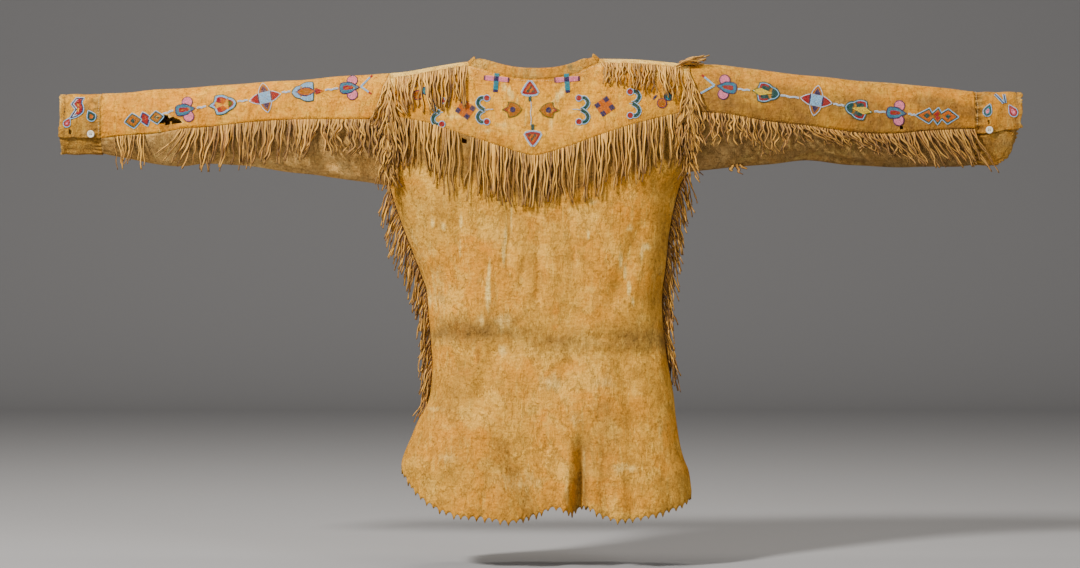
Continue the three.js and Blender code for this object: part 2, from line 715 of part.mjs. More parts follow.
/**
 * A fringe: a narrow strip with strands cut into it. Each root line holds the strip's four corners,
 * [crown outside, crown inside, hang inside, hang outside]; between two root lines hangs one strand,
 * given as rings of four corners that match [outside 1, outside 2, inside 2, inside 1].
 */
function comb(roots, strands) {
  const shell = new Shell();
  strands.forEach((rings, k) => {
    const [a, b] = [roots[k], roots[k + 1]];
    shell.quad(a[0], b[0], b[3], a[3]);
    shell.quad(b[1], a[1], a[2], b[2]);
    shell.quad(b[0], a[0], a[1], b[1]);
    let last = [a[3], b[3], b[2], a[2]];
    rings.forEach((ring) => {
      for (let m = 0; m < 4; m += 1) shell.quad(last[m], last[(m + 1) % 4], ring[(m + 1) % 4], ring[m]);
      last = ring;
    });
    shell.quad(last[0], last[1], last[2], last[3]);
  });
  const [first, end] = [roots[0], roots.at(-1)];
  shell.quad(first[0], first[3], first[2], first[1]);
  shell.quad(end[1], end[2], end[3], end[0]);
  return shell.geometry();
}

const STRIP = 2; // half height of a fringe's strip

/** A small uneven number from -1 to 1 for the k-th strand. */
const uneven = (k, seed) => Math.sin(k * 12.9 + seed * 7.3) * Math.cos(k * 4.1 + seed);

/**
 * A fringe that hangs from a seam across a front. `depth(x, z)` is how far forward the cloth is,
 * `seamZ(x)` the seam's height and `length(x)` the fringe's.
 */
function makeHangingFringe({ from, to, count, seamZ, depth, length, seed, splay = () => 0, rings = 2 }) {
  const pitch = (to - from) / count;
  const at = (k) => from + pitch * k;
  const lift = SEAM + 0.15;
  const roots = Array.from({ length: count + 1 }, (_, k) => {
    const x = at(k);
    const z = seamZ(x);
    const corner = (rise, out) => vec(x, -(depth(x, z + rise) + out), z + rise);
    return [corner(STRIP, lift + FRINGE_HIDE), corner(STRIP, lift),
      corner(-STRIP, lift), corner(-STRIP, lift + FRINGE_HIDE)];
  });
  const strands = Array.from({ length: count }, (_, k) => {
    const x = at(k + 0.5);
    const z = seamZ(x) - STRIP;
    const long = length(x) * (1 + 0.09 * uneven(k, seed)) - STRIP;
    const part = (i) => (i === 0 ? 0.1 : Math.min(1, (i / (rings - 1)) ** 1.2));
    let most = depth(x, z);
    return Array.from({ length: rings }, (__, i) => {
      const t = part(i);
      const drop = long * t;
      const ahead = (drop + long * part(i + 1)) / 2;
      most = Math.max(most, depth(x, z - drop), depth(x, z - ahead));
      const sway = pitch * 0.16 * uneven(k, seed + 3) * t + splay(x) * t;
      const wide = pitch * lerp(0.31, 0.2, t);
      const thick = lerp(0.6, 0.5, t);
      const out = most + lift + 0.5 + FRINGE_HIDE / 2 + 2 * t + 0.8 * uneven(k, seed + 5) * t;
      const corner = (side, front) => vec(x + sway + side * wide, -(out + front * thick), z - drop);
      return [corner(-1, 1), corner(1, 1), corner(1, -1), corner(-1, -1)];
    });
  });
  return comb(roots, strands);
}

/**
 * A fringe in an upright seam: each strand leaves the seam outwards and hangs down over the next,
 * like shingles. `point(z)` is the seam, `out` the way out and `across` the strip's width.
 */
function makeShingledFringe({ from, to, count, point, out, across, wide, length, seed, lowest = -Infinity }) {
  const pitch = (from - to) / count;
  const SLOPE = 0.28;
  const LEAN = Math.atan(SLOPE);
  const thin = 0.9;
  const lift = SEAM + 0.15;
  const move = (p, outward, sideways, down) => p.clone()
    .addScaledVector(out, outward).addScaledVector(across, sideways).add(vec(0, 0, -down));
  const roots = Array.from({ length: count + 1 }, (_, k) => {
    const p = point(from - pitch * k);
    return [move(p, lift, wide, 0), move(p, lift, -wide, 0),
      move(p, lift + FRINGE_HIDE, -wide, 0), move(p, lift + FRINGE_HIDE, wide, 0)];
  });
  const strands = Array.from({ length: count }, (_, k) => {
    const z = from - pitch * (k + 0.5);
    const long = length(z) * (1 + 0.1 * uneven(k, seed));
    return [0.85 * pitch, long].map((drop, i) => {
      const outward = lift + FRINGE_HIDE + 2.2 + SLOPE * (drop - 0.85 * pitch);
      const half = wide * lerp(0.85, 0.55, i);
      const sway = i * wide * 0.6 * uneven(k, seed + 2);
      const seam = point(Math.max(z - drop, lowest));
      const p = seam.addScaledVector(out, Math.max(0, point(z).sub(seam).dot(out))).setZ(z);
      const corner = (upper, side) => move(p, outward + upper * thin * Math.cos(LEAN), sway + side * half,
        drop - upper * thin * Math.sin(LEAN));
      return [corner(1, 1), corner(-1, 1), corner(-1, -1), corner(1, -1)];
    });
  });
  return comb(roots, strands);
}

const frontDepth = (x, z) => bodyDepth(-1, x, z);
const sleeveDepth = (rows) => (x, z) => {
  const section = sleeveSection(rows, x);
  const rise = THREE.MathUtils.clamp((z - section.middle) / section.high, -1, 1);
  return section.half * Math.sqrt(1 - rise * rise) * (1 + EGG * rise);
};
const sleeveSeam = (rows) => (x) => along(rows, 'x', 'seam', x);

const YOKE_FRINGE = [
  { x: -240, long: 84 },
  { x: -186, long: 86 },
  { x: -146, long: 106 },
  { x: -95, long: 98 },
  { x: -52, long: 95 },
  { x: -12, long: 86 },
  { x: 34, long: 88 },
  { x: 91, long: 101 },
  { x: 141, long: 105 },
  { x: 161, long: 107 },
  { x: 201, long: 90 },
  { x: 246, long: 90 },
];
const LEFT_SLEEVE_FRINGE = [
  { x: -617, long: 44 },
  { x: -600, long: 62 },
  { x: -540, long: 74 },
  { x: -440, long: 72 },
  { x: -380, long: 62 },
  { x: -330, long: 60 },
  { x: -273, long: 72 },
];
const RIGHT_SLEEVE_FRINGE = [
  { x: 285, long: 60 },
  { x: 350, long: 58 },
  { x: 440, long: 44 },
  { x: 520, long: 40 },
  { x: 600, long: 46 },
  { x: 690, long: 62 },
  { x: 779, long: 74 },
];
const lengthOf = (rows) => (x) => along(rows, 'x', 'long', x);
const shoulderSeamZ = (x) => ridge(x) - SHOULDER_SEAM_DROP;

/** The armhole's front edge, where body and sleeve meet. */
function armholeFront(arm) {
  return (z) => {
    const inside = arm.plane - arm.sign * 3.2;
    return vec(arm.plane, -Math.max(armholeDepth(arm, arm.top - z), frontDepth(inside, z)), z);
  };
}

/** The side seam as the front piece has it, from one of its rows to the next. */
function sideSeam(piece, column) {
  const edge = piece.outer.map((row) => ({ x: row[column].x, z: row[column].z }));
  return (z) => {
    const i = Math.max(1, edge.findIndex((p) => p.z <= z));
    const t = (z - edge[i - 1].z) / (edge[i].z - edge[i - 1].z);
    return vec(lerp(edge[i - 1].x, edge[i].x, t), 0, z);
  };
}

// ---------------------------------------------------------------- the shirt

const hide = (name, colour, roughness = 0.88) => {
  const material = new THREE.MeshStandardMaterial({ color: colour, roughness, metalness: 0 });
  material.name = name;
  return material;
};
const smokedHide = hide('smoked hide', 0xb98a4e);
const brightHide = hide('bright hide', 0xc4884a);
const darkHide = hide('soiled hide', 0xa37e4c);
const fringeHide = hide('fringe hide', 0x9c7a4a);
const shell = hide('shell button', 0xe9e7e0, 0.3);

const shirt = new THREE.Group();
function add(name, geometry, material) {
  const mesh = new THREE.Mesh(geometry, material);
  mesh.name = name;
  shirt.add(mesh);
}

const yoke = makeYoke();
const front = makeFront();
const back = makeBack();
add('front', cutHoles(front.geometry, [{ x: -124, z: -142, wide: 10, high: 5, ragged: 0.2 }]), smokedHide);
add('front_yoke', yoke.geometry, brightHide);
add('back', back.geometry, smokedHide);
add('collar', makeCollar(yoke, back), brightHide);

const leftUpper = makeSleevePanel(LEFT_SLEEVE, LEFT_ARM, LEFT_CUFF.from, 10, upperAngles).geometry;
const rightUpper = makeSleevePanel(RIGHT_SLEEVE, RIGHT_ARM, RIGHT_CUFF.from, 10, upperAngles).geometry;
add('upper_sleeve_left', cutHoles(leftUpper, [
  { x: -645, z: -113, wide: 33, high: 20, ragged: 0.35, corners: 16 },
]), brightHide);
add('upper_sleeve_right', cutHoles(rightUpper, [{ x: 630, z: -120, wide: 7, high: 5, ragged: 0.2 }]), brightHide);
add('under_sleeve_left', makeSleevePanel(LEFT_SLEEVE, LEFT_ARM, LEFT_CUFF.from, 8, underAngles).geometry, darkHide);
add('under_sleeve_right', makeSleevePanel(RIGHT_SLEEVE, RIGHT_ARM, RIGHT_CUFF.from, 8, underAngles).geometry, darkHide);
add('cuff_left', cutHoles(makeCuff(LEFT_CUFF).geometry, [{ x: -808, z: -127, wide: 5, high: 9 }]), brightHide);
add('cuff_right', cutHoles(makeCuff(RIGHT_CUFF).geometry, [{ x: 781, z: -111, wide: 4, high: 7 }]), brightHide);
add('button_left', makeButton(LEFT_CUFF, -772, -130.5), shell);
add('button_right', makeButton(RIGHT_CUFF, 782, -124), shell);

add('fringe_yoke', makeHangingFringe({
  from: -244,
  to: 249,
  count: 58,
  seamZ: (x) => along(YOKE_SEAM, 'x', 'z', x),
  depth: frontDepth,
  length: lengthOf(YOKE_FRINGE),
  seed: 1,
  rings: 3,
}), fringeHide);
add('fringe_shoulder_left', makeHangingFringe({
  from: -246,
  to: -123,
  count: 18,
  seamZ: shoulderSeamZ,
  depth: frontDepth,
  length: (x) => (x < -200 ? 64 : 70),
  seed: 2,
  rings: 4,
}), fringeHide);
add('fringe_shoulder_right', makeHangingFringe({
  from: 112,
  to: 250,
  count: 16,
  seamZ: shoulderSeamZ,
  depth: frontDepth,
  length: (x) => lerp(34, 58, (x - 112) / 138),
  seed: 3,
  rings: 4,
}), fringeHide);
add('fringe_sleeve_left', makeHangingFringe({
  from: -617,
  to: -273,
  count: 40,
  seamZ: sleeveSeam(LEFT_SLEEVE),
  depth: sleeveDepth(LEFT_SLEEVE),
  length: lengthOf(LEFT_SLEEVE_FRINGE),
  seed: 4,
  splay: (x) => -14 * bell(x + 617, 18),
}), fringeHide);
add('fringe_wrist_left', makeHangingFringe({
  from: -724,
  to: -683,
  count: 5,
  seamZ: sleeveSeam(LEFT_SLEEVE),
  depth: sleeveDepth(LEFT_SLEEVE),
  length: () => 55,
  seed: 5,
}), fringeHide);
add('fringe_sleeve_right', makeHangingFringe({
  from: 285,
  to: 754,
  count: 46,
  seamZ: sleeveSeam(RIGHT_SLEEVE),
  depth: sleeveDepth(RIGHT_SLEEVE),
  length: lengthOf(RIGHT_SLEEVE_FRINGE),
  seed: 6,
  splay: (x) => 8 * smooth((x - 560) / 150),
}), fringeHide);

[['left', LEFT_ARM, 7], ['right', RIGHT_ARM, 8]].forEach(([name, arm, seed]) => {
  add(`fringe_armhole_${name}`, makeShingledFringe({
    from: arm.top - 40,
    to: arm.bottom + 60,
    count: 7,
    point: armholeFront(arm),
    lowest: arm.bottom + 50,
    out: vec(0, -1, 0),
    across: vec(1, 0, 0),
    wide: 3,
    length: () => 62,
    seed,
  }), fringeHide);
});
add('fringe_side_left', makeShingledFringe({
  from: LEFT_ARM.bottom - 6,
  to: -560,
  count: 24,
  point: sideSeam(front, 0),
  out: vec(-1, 0, 0),
  across: vec(0, 1, 0),
  wide: 2,
  length: (z) => lerp(40, 56, smooth((-z - 220) / 80)),
  seed: 9,
}), fringeHide);
add('fringe_side_right', makeShingledFringe({
  from: RIGHT_ARM.bottom - 6,
  to: -490,
  count: 20,
  point: sideSeam(front, COLUMNS),
  out: vec(1, 0, 0),
  across: vec(0, 1, 0),
  wide: 2,
  length: () => 48,
  seed: 10,
}), fringeHide);

export default shirt;
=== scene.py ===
"""A beaded hide shirt in its worn form, built piece by piece as it is cut, sewn and beaded."""

import bpy
import bmesh
import numpy as np
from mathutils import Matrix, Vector


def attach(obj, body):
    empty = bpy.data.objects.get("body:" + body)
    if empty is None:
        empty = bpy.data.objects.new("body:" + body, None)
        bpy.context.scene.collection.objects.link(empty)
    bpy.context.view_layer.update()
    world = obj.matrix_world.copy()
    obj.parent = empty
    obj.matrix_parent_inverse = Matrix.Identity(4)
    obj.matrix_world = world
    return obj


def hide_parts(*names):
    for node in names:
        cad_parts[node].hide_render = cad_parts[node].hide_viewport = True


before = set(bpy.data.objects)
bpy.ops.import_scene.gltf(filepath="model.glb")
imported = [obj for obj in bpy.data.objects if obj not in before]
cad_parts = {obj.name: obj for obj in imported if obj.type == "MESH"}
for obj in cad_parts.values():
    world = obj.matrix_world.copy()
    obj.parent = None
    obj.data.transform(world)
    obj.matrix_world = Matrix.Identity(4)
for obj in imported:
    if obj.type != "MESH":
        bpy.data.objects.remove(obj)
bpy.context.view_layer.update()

# ---------------------------------------------------------------- front panel
# One piece of smoke-tanned hide from the V-shaped yoke seam to the hem. The hem is snipped into
# saw teeth with a knife. Sewn to the back at the sides, and worn grey where a belt has rubbed.

MM = 0.001
HIDE = 2.0          # thickness of the hide, in millimetres as all sizes below
SEAM = 0.3          # gap between sewn pieces
ROLL = 45.0         # height over which a shoulder rolls from level to upright
SIDE_ROUND = 140.0  # width over which the body rounds towards its sides
UNDERARM = 90.0     # height over which the armhole's rounding gives way to the side seam's
EGG = 0.12          # armholes and sleeves are this much fuller above their middle
FOLD_REACH = 1.2    # a fold ends this far along its line, past the hem

RIDGE = [(-256, -24), (-225, -21), (-174, -12), (-120, -4), (-60, 0),
         (60, 2), (113, 1), (169, 0), (229, -5), (262, -9)]
BODY_DEPTH = [(-800, 80), (-640, 73), (-480, 67), (-330, 72), (-200, 75), (-90, 63), (-40, 56),
              (5, 55)]
LEFT_ARM = dict(sign=-1, plane=-256, top=-24, bottom=-220, depth=48, side=[
    (-727, -233), (-710, -236), (-693, -234), (-659, -220), (-624, -205), (-590, -188), (-537, -182),
    (-509, -183), (-440, -189), (-402, -192), (-380, -199), (-351, -210), (-315, -224), (-260, -244),
    (-220, -256)])
RIGHT_ARM = dict(sign=1, plane=262, top=-9, bottom=-196, depth=48, side=[
    (-757, 270), (-715, 264), (-695, 256), (-669, 249), (-624, 242), (-578, 237), (-523, 227),
    (-468, 220), (-413, 218), (-351, 225), (-311, 229), (-263, 237), (-218, 249), (-196, 262)])
YOKE_SEAM = [(-256, -99), (-186, -114), (-131, -132), (-67, -153), (-27, -166), (0, -170), (52, -155),
             (91, -141), (131, -127), (169, -115), (208, -105), (262, -91)]
FRONT_HEM = [(-236, -708), (-225, -731), (-205, -753), (-177, -772), (-136, -785), (-95, -788),
             (-45, -794), (-8, -785), (30, -770), (60, -780), (82, -769), (113, -785), (140, -792),
             (191, -786), (242, -773), (262, -763), (270, -750)]

# Creases and folds: where each starts and ends, its width and its depth at the end.
FRONT_FOLDS = [
    (82, -590, 70, -780, 12, 30), (58, -610, 46, -780, 11, -6), (108, -590, 116, -780, 12, 9),
    (-112, -560, -12, -780, 17, 19), (-190, -620, -182, -760, 16, 10), (-60, -650, -92, -780, 13, 6),
    (152, -640, 164, -780, 13, 7), (212, -650, 228, -770, 11, 6), (-140, -660, -148, -780, 11, 5)]
FRONT_CREASES = [
    (3, -290, 2, -450, 8, 6.3), (41, -425, 93, -455, 4, 4.5), (7, -680, 24, -672, 6, 3.6),
    (-150, -250, -96, -420, 15, 6.6), (-215, -300, -150, -520, 14, 6.0), (190, -260, 120, -450, 15, 6.3),
    (214, -330, 196, -560, 11, 6.0), (-60, -480, -120, -640, 14, 5.7), (140, -480, 170, -690, 14, 6.3),
    (-176, -500, -120, -545, 9, 4.5), (200, -500, 150, -530, 9, 4.5), (60, -500, 30, -600, 12, 4.2),
    (-40, -250, -52, -370, 7, 3.6), (52, -240, 66, -380, 8, 3.9), (-16, -330, -34, -420, 6, 3.0),
    (-190, -470, -70, -486, 6, 3.0), (60, -478, 205, -492, 6, 3.3), (-170, -500, -40, -512, 5, 2.4),
    (96, -506, 214, -512, 5, 2.4), (-118, -545, -70, -625, 7, 4.5), (96, -600, 132, -700, 8, 3.9)]


def along(rows, at):
    """Smooth curve through a table of (key, value): cubic pieces whose slopes join the neighbours."""
    keys, values = np.array(rows, float).T
    slopes = np.gradient(values, keys)
    slopes[1:-1] = (values[2:] - values[:-2]) / (keys[2:] - keys[:-2])
    at = np.clip(np.asarray(at, float), keys[0], keys[-1])
    i = np.clip(np.searchsorted(keys, at) - 1, 0, len(keys) - 2)
    span = keys[i + 1] - keys[i]
    t = (at - keys[i]) / span
    bend = t * (1 - t) ** 2 * slopes[i] - t * t * (1 - t) * slopes[i + 1]
    return values[i] + (values[i + 1] - values[i]) * t * t * (3 - 2 * t) + bend * span


def smooth(t):
    """Eases from 0 to 1."""
    t = np.clip(t, 0, 1)
    return t * t * (3 - 2 * t)


def lerp(a, b, t):
    """The value a share t of the way from a to b."""
    return a + (b - a) * t


def ridge(x):
    """Height of the shoulder line."""
    return along(RIDGE, x)


def side_x(arm, z):
    """Side edge of the body: the plane of the armhole, and below the underarm the side seam."""
    x = np.where(z >= arm["bottom"], arm["plane"], along(arm["side"], z))
    return x - arm["sign"] * SEAM / 2


def armhole_depth(arm, drop):
    """Half depth of the armhole's egg-shaped ring, at a drop below its top."""
    rise = np.clip(1 - 2 * drop / (arm["top"] - arm["bottom"]), -1, 1)
    return arm["depth"] * np.sqrt(1 - rise * rise) * (1 + EGG * rise)


def fold_depth(folds, x, z):
    """How far soft bell-shaped troughs along straight lines draw the cloth in."""
    total = np.zeros_like(x, dtype=float)
    for x0, z0, x1, z1, width, depth in folds:
        t = (z - z0) / (z1 - z0)
        fade = smooth(t) * np.where(t > FOLD_REACH, 0, 1)
        off = x - lerp(x0, x1, np.minimum(t, FOLD_REACH))
        total += depth * fade * np.exp(-(off / width) ** 2)
    return total


def crease_depth(creases, x, z):
    """The same for creases that fade out at both ends."""
    total = np.zeros_like(x, dtype=float)
    for x0, z0, x1, z1, width, depth in creases:
        run = np.hypot(x1 - x0, z1 - z0)
        way = ((x - x0) * (x1 - x0) + (z - z0) * (z1 - z0)) / run ** 2
        off = ((x - x0) * (z1 - z0) - (z - z0) * (x1 - x0)) / run
        off = off + 0.12 * width * np.sin(way * 9 + x0)
        total += depth * smooth(way * 4) * smooth((1 - way) * 4) * np.exp(-(off / width) ** 2)
    return total


def body_depth(face, x, z, fine=False):
    """Half depth: from a side seam a quarter ellipse, from an armhole a parabola, to full depth."""
    x, z = np.broadcast_arrays(np.asarray(x, float), np.asarray(z, float))
    drop = ridge(x) - z
    depth = np.zeros_like(x)
    for arm, here in ((LEFT_ARM, x < 0), (RIGHT_ARM, x >= 0)):
        turn = np.clip(arm["sign"] * (side_x(arm, z) - x) / SIDE_ROUND, 0, 1)
        beside = smooth((z - arm["bottom"]) / UNDERARM)
        rounding = (turn * (2 - turn)) ** lerp(0.5, 1, beside)
        roll = np.where(drop < ROLL, np.sqrt(np.clip(1 - (1 - drop / ROLL) ** 2, 0, 1)), 1)
        full = along(BODY_DEPTH, z) * roll
        folds = fold_depth(FRONT_FOLDS if face < 0 else BACK_FOLDS, x, z)
        if fine:
            folds = folds + crease_depth(FRONT_CREASES if face < 0 else BACK_CREASES, x, z)
        root = armhole_depth(arm, drop)
        depth = np.where(here, root + (full - folds - root) * rounding, depth)
    return np.where(drop > 0, depth, 0)


def body_points(face, x, z, fine=True):
    """Points on the outside of the body; at the side seams they stay clear of the middle plane."""
    least = np.where(ridge(x) - z > ROLL, SEAM / 2, 0)
    return np.stack([x, face * np.maximum(body_depth(face, x, z, fine), least), z], -1)


def body_normals(face, x, z):
    """Outward unit normals, from the slopes of the body's depth."""
    step = 0.4
    slope_x = (body_depth(face, x + step, z, True) - body_depth(face, x - step, z, True)) / (2 * step)
    slope_z = (body_depth(face, x, z + step, True) - body_depth(face, x, z - step, True)) / (2 * step)
    normals = np.stack([-slope_x, face * np.ones_like(x), -slope_z], -1)
    normals[ridge(x) - z < step] = (0, 0, 1)
    return normals / np.linalg.norm(normals, axis=-1, keepdims=True)


def even_spacing(count, points):
    """Fractions that space columns evenly along a curve, from its summed length."""
    lengths = np.r_[0, np.cumsum(np.linalg.norm(np.diff(points, axis=0), axis=1))]
    return np.interp(np.linspace(0, lengths[-1], count + 1), lengths, np.linspace(0, 1, len(points)))


def grid_faces(rows, columns, round_rows=False, round_columns=False):
    """The four-sided faces of a grid of points, joined round to its first row or column if asked."""
    index = np.arange(rows * columns).reshape(rows, columns)
    if round_rows:
        index = np.r_[index, index[:1]]
    if round_columns:
        index = np.c_[index, index[:, :1]]
    return np.stack([index[:-1, :-1], index[1:, :-1], index[1:, 1:], index[:-1, 1:]], -1).reshape(-1, 4)


def new_mesh(name, points, faces, attributes=None):
    """A mesh object at the origin from points in millimetres, its faces and point attributes."""
    mesh = bpy.data.meshes.new(name)
    faces = np.asarray(faces)
    sides = faces.shape[1]
    mesh.vertices.add(len(points))
    mesh.vertices.foreach_set("co", (np.asarray(points, float) * MM).ravel())
    mesh.loops.add(faces.size)
    mesh.loops.foreach_set("vertex_index", faces.ravel())
    mesh.polygons.add(len(faces))
    mesh.polygons.foreach_set("loop_start", np.arange(0, faces.size, sides))
    mesh.polygons.foreach_set("loop_total", np.full(len(faces), sides))
    mesh.polygons.foreach_set("use_smooth", np.ones(len(faces), bool))
    for key, values in (attributes or {}).items():
        kind = "FLOAT" if np.ndim(values) == 1 else "FLOAT_COLOR"
        layer = mesh.attributes.new(key, kind, "POINT")
        layer.data.foreach_set("value" if kind == "FLOAT" else "color", np.asarray(values, float).ravel())
    mesh.update()
    mesh.validate()
    piece = bpy.data.objects.new(name, mesh)
    bpy.context.scene.collection.objects.link(piece)
    return piece


def hide_panel(name, outer, normals, marks, keep=None):
    """A wall of hide: the outer grid, the same grid HIDE deeper, and a strip round every free edge.

    `keep` says which grid cells are there, so a hole gets its own strip all round. The flat width is
    the longest row, measured past the hem's teeth, and the flat length the longest column.
    """
    rows, columns = outer.shape[:2]
    inner = outer - normals * HIDE
    index = np.arange(rows * columns).reshape(rows, columns)
    cells = np.ones((rows - 1, columns - 1), bool) if keep is None else keep
    corner = [index[:-1, :-1], index[:-1, 1:], index[1:, 1:], index[1:, :-1]]
    quads = np.stack([c[cells] for c in corner], -1)
    far = rows * columns
    faces = [quads, quads[:, ::-1] + far]
    padded = np.pad(cells, 1)
    neighbour = [padded[:-2, 1:-1], padded[1:-1, 2:], padded[2:, 1:-1], padded[1:-1, :-2]]
    for side in range(4):
        free = cells & ~neighbour[side]
        a, b = corner[side][free], corner[(side + 1) % 4][free]
        faces.append(np.stack([b, a, a + far, b + far], -1))
    faces = np.concatenate(faces)
    points = np.concatenate([outer.reshape(-1, 3), inner.reshape(-1, 3)])
    row, column = rows // 2, columns // 2
    across = outer[row, column + 1] - outer[row, column]
    down = outer[row + 1, column] - outer[row, column]
    if np.dot(np.cross(down, across), normals[row, column]) > 0:
        faces = faces[:, ::-1]
    attributes = {key: np.tile(np.clip(value, 0, 1).ravel(), 2) for key, value in marks.items()}
    attributes["inside"] = np.r_[np.zeros(far), np.ones(far)]
    piece = new_mesh(name, points, faces, attributes)
    used = np.unique(faces)
    if len(used) < len(points):
        drop = np.setdiff1d(np.arange(len(points)), used)
        work = bmesh.new()
        work.from_mesh(piece.data)
        work.verts.ensure_lookup_table()
        bmesh.ops.delete(work, geom=[work.verts[k] for k in drop], context="VERTS")
        work.to_mesh(piece.data)
        work.free()
    past_teeth = outer[:, np.unique(np.r_[0:columns:2 * TEETH_PITCH, columns - 1])]
    row_length = np.linalg.norm(np.diff(past_teeth, axis=1), axis=-1).sum(1).max()
    column_length = np.linalg.norm(np.diff(outer, axis=0), axis=-1).sum(0).max()
    diagonals = outer[1:, 1:] - outer[:-1, :-1], outer[1:, :-1] - outer[:-1, 1:]
    area = np.linalg.norm(np.cross(*diagonals), axis=-1).sum() / 2
    piece["flat"] = [row_length * MM, column_length * MM, area * MM * MM]
    return piece


def open_holes(x, z, holes):
    """Cuts ragged holes (x, z, wide, high, raggedness, tongue) out of a grid seen from the front.

    The tongue is the share of the height, from below, where torn hide still hangs inside. The grid
    points on a hole's rim move onto it. Returns the grid, the cells that stay, and how far the worn
    lip curls up, which is less than nothing on the tongue.
    """
    x, z = np.array(x, float), np.array(z, float)
    keep = np.ones((x.shape[0] - 1, x.shape[1] - 1), bool)
    lip = np.zeros_like(x)
    for hx, hz, wide, high, ragged, tongue in holes:
        def measure(px, pz):
            dx, dz = (px - hx) / (wide / 2), (pz - hz) / (high / 2)
            angle = np.arctan2(dz, dx)
            waves = 0.6 * np.sin(3 * angle + 1) + 0.3 * np.sin(8 * angle) + 0.2 * np.sin(13 * angle)
            return np.hypot(dx, dz) / (1 + ragged * waves)
        mid = [(v[:-1, :-1] + v[:-1, 1:] + v[1:, :-1] + v[1:, 1:]) / 4 for v in (x, z)]
        torn = hz + high * (tongue - 0.5) + 1.5 * np.sin(mid[0] / 2.3)
        gone = (measure(*mid) < 1) & (mid[1] > torn)
        keep &= ~gone
        touch = [np.zeros(x.shape, bool), np.zeros(x.shape, bool)]
        for flag, cells in zip(touch, (gone, ~gone)):
            for rows in (slice(None, -1), slice(1, None)):
                for columns in (slice(None, -1), slice(1, None)):
                    flag[rows, columns] |= cells
        far = measure(x, z)
        rim = touch[0] & touch[1] & (np.abs(far - 1) < 0.4)
        x[rim] = hx + (x[rim] - hx) / far[rim]
        z[rim] = hz + (z[rim] - hz) / far[rim]
        far = measure(x, z)
        curl = ragged * 5 * np.exp(-((far - 1) / 0.22) ** 2) * (0.5 + 0.5 * np.sin(x / 3 + z / 4))
        lip += np.where(far > 0.97, curl, -9 * tongue * smooth((0.97 - far) / 0.35))
    return x, z, keep, lip


def spots(x, z, rows):
    """Soft uneven spots from a table of (x, z, wide, high, strength)."""
    total = np.zeros_like(x, dtype=float)
    for sx, sz, wide, high, strength in rows:
        dx, dz = (x - sx) / wide, (z - sz) / high
        angle = np.arctan2(dz, dx)
        ragged = 1 + 0.25 * np.sin(5 * angle + sx) + 0.15 * np.sin(11 * angle)
        total = np.maximum(total, strength * np.exp(-((dx * dx + dz * dz) / ragged) ** 1.5))
    return total


def blotches(u, v, *waves):
    """Soft uneven patches from 0 to 1: a bent wave along u times a slanted one along v."""
    u_wave, v_bend, v_wave, u_slant = waves
    return 0.5 + 0.5 * np.sin(u / u_wave + 2 * np.sin(v / v_bend)) * np.cos(v / v_wave + u / u_slant)


class Wire:
    """A shader socket whose arithmetic adds Math nodes."""

    def __init__(self, shader, socket):
        self.shader, self.socket = shader, socket

    def _math(self, operation, a, b):
        return self.shader.node("ShaderNodeMath", {"operation": operation}, {0: a, 1: b})

    def __add__(self, other):
        return self._math("ADD", self, other)

    def __sub__(self, other):
        return self._math("SUBTRACT", self, other)

    def __rsub__(self, other):
        return self._math("SUBTRACT", other, self)

    def __mul__(self, other):
        return self._math("MULTIPLY", self, other)

    __radd__ = __add__
    __rmul__ = __mul__


class Shader:
    """A new material and the wires in it."""

    def __init__(self, name, **constants):
        self.material = bpy.data.materials.new(name)
        self.material.use_nodes = True
        self.tree = self.material.node_tree
        self.surface = self.tree.nodes["Principled BSDF"]
        for key, value in constants.items():
            self.surface.inputs[key.replace("_", " ")].default_value = value

    def node(self, kind, settings=None, inputs=None, out=0):
        """Adds one node: its settings first, then its sockets' values or wires."""
        node = self.tree.nodes.new(kind)
        for key, value in (settings or {}).items():
            setattr(node, key, value)
        for key, value in (inputs or {}).items():
            if isinstance(value, Wire):
                self.tree.links.new(value.socket, node.inputs[key])
            else:
                node.inputs[key].default_value = value
        return Wire(self, node.outputs[out])

    def place(self, stretch=(1, 1, 1)):
        """Object coordinates, stretched."""
        coordinates = self.node("ShaderNodeTexCoord", out="Object")
        return self.node("ShaderNodeVectorMath", {"operation": "MULTIPLY"}, {0: coordinates, 1: stretch})

    def noise(self, scale, detail, rough, stretch=(1, 1, 1)):
        """Soft noise from 0 to 1 over the object."""
        return self.node("ShaderNodeTexNoise", None, {
            "Vector": self.place(stretch), "Scale": scale, "Detail": detail, "Roughness": rough})

    def ease(self, value, low, high):
        """0 below low, 1 above high, eased between."""
        return self.node("ShaderNodeMapRange", {"interpolation_type": "SMOOTHSTEP"},
                         {"Value": value, "From Min": low, "From Max": high})

    def mark(self, name):
        """A number painted on the mesh's points."""
        return self.node("ShaderNodeAttribute", {"attribute_name": name}, out="Fac")

    def mix(self, part, a, b, how="MIX"):
        """Mixes two colours."""
        return self.node("ShaderNodeMix", {"data_type": "RGBA", "blend_type": how},
                         {"Factor": part, 6: a, 7: b}, out=2)

    def bump(self, height, distance, strength, under=None):
        """A normal raised by a height, over the bump under it."""
        inputs = {"Height": height, "Distance": distance, "Strength": strength}
        if under is not None:
            inputs["Normal"] = under
        return self.node("ShaderNodeBump", None, inputs)

    def feed(self, **wires):
        """Leads wires to the surface's sockets."""
        for key, wire in wires.items():
            self.tree.links.new(wire.socket, self.surface.inputs[key.replace("_", " ")])


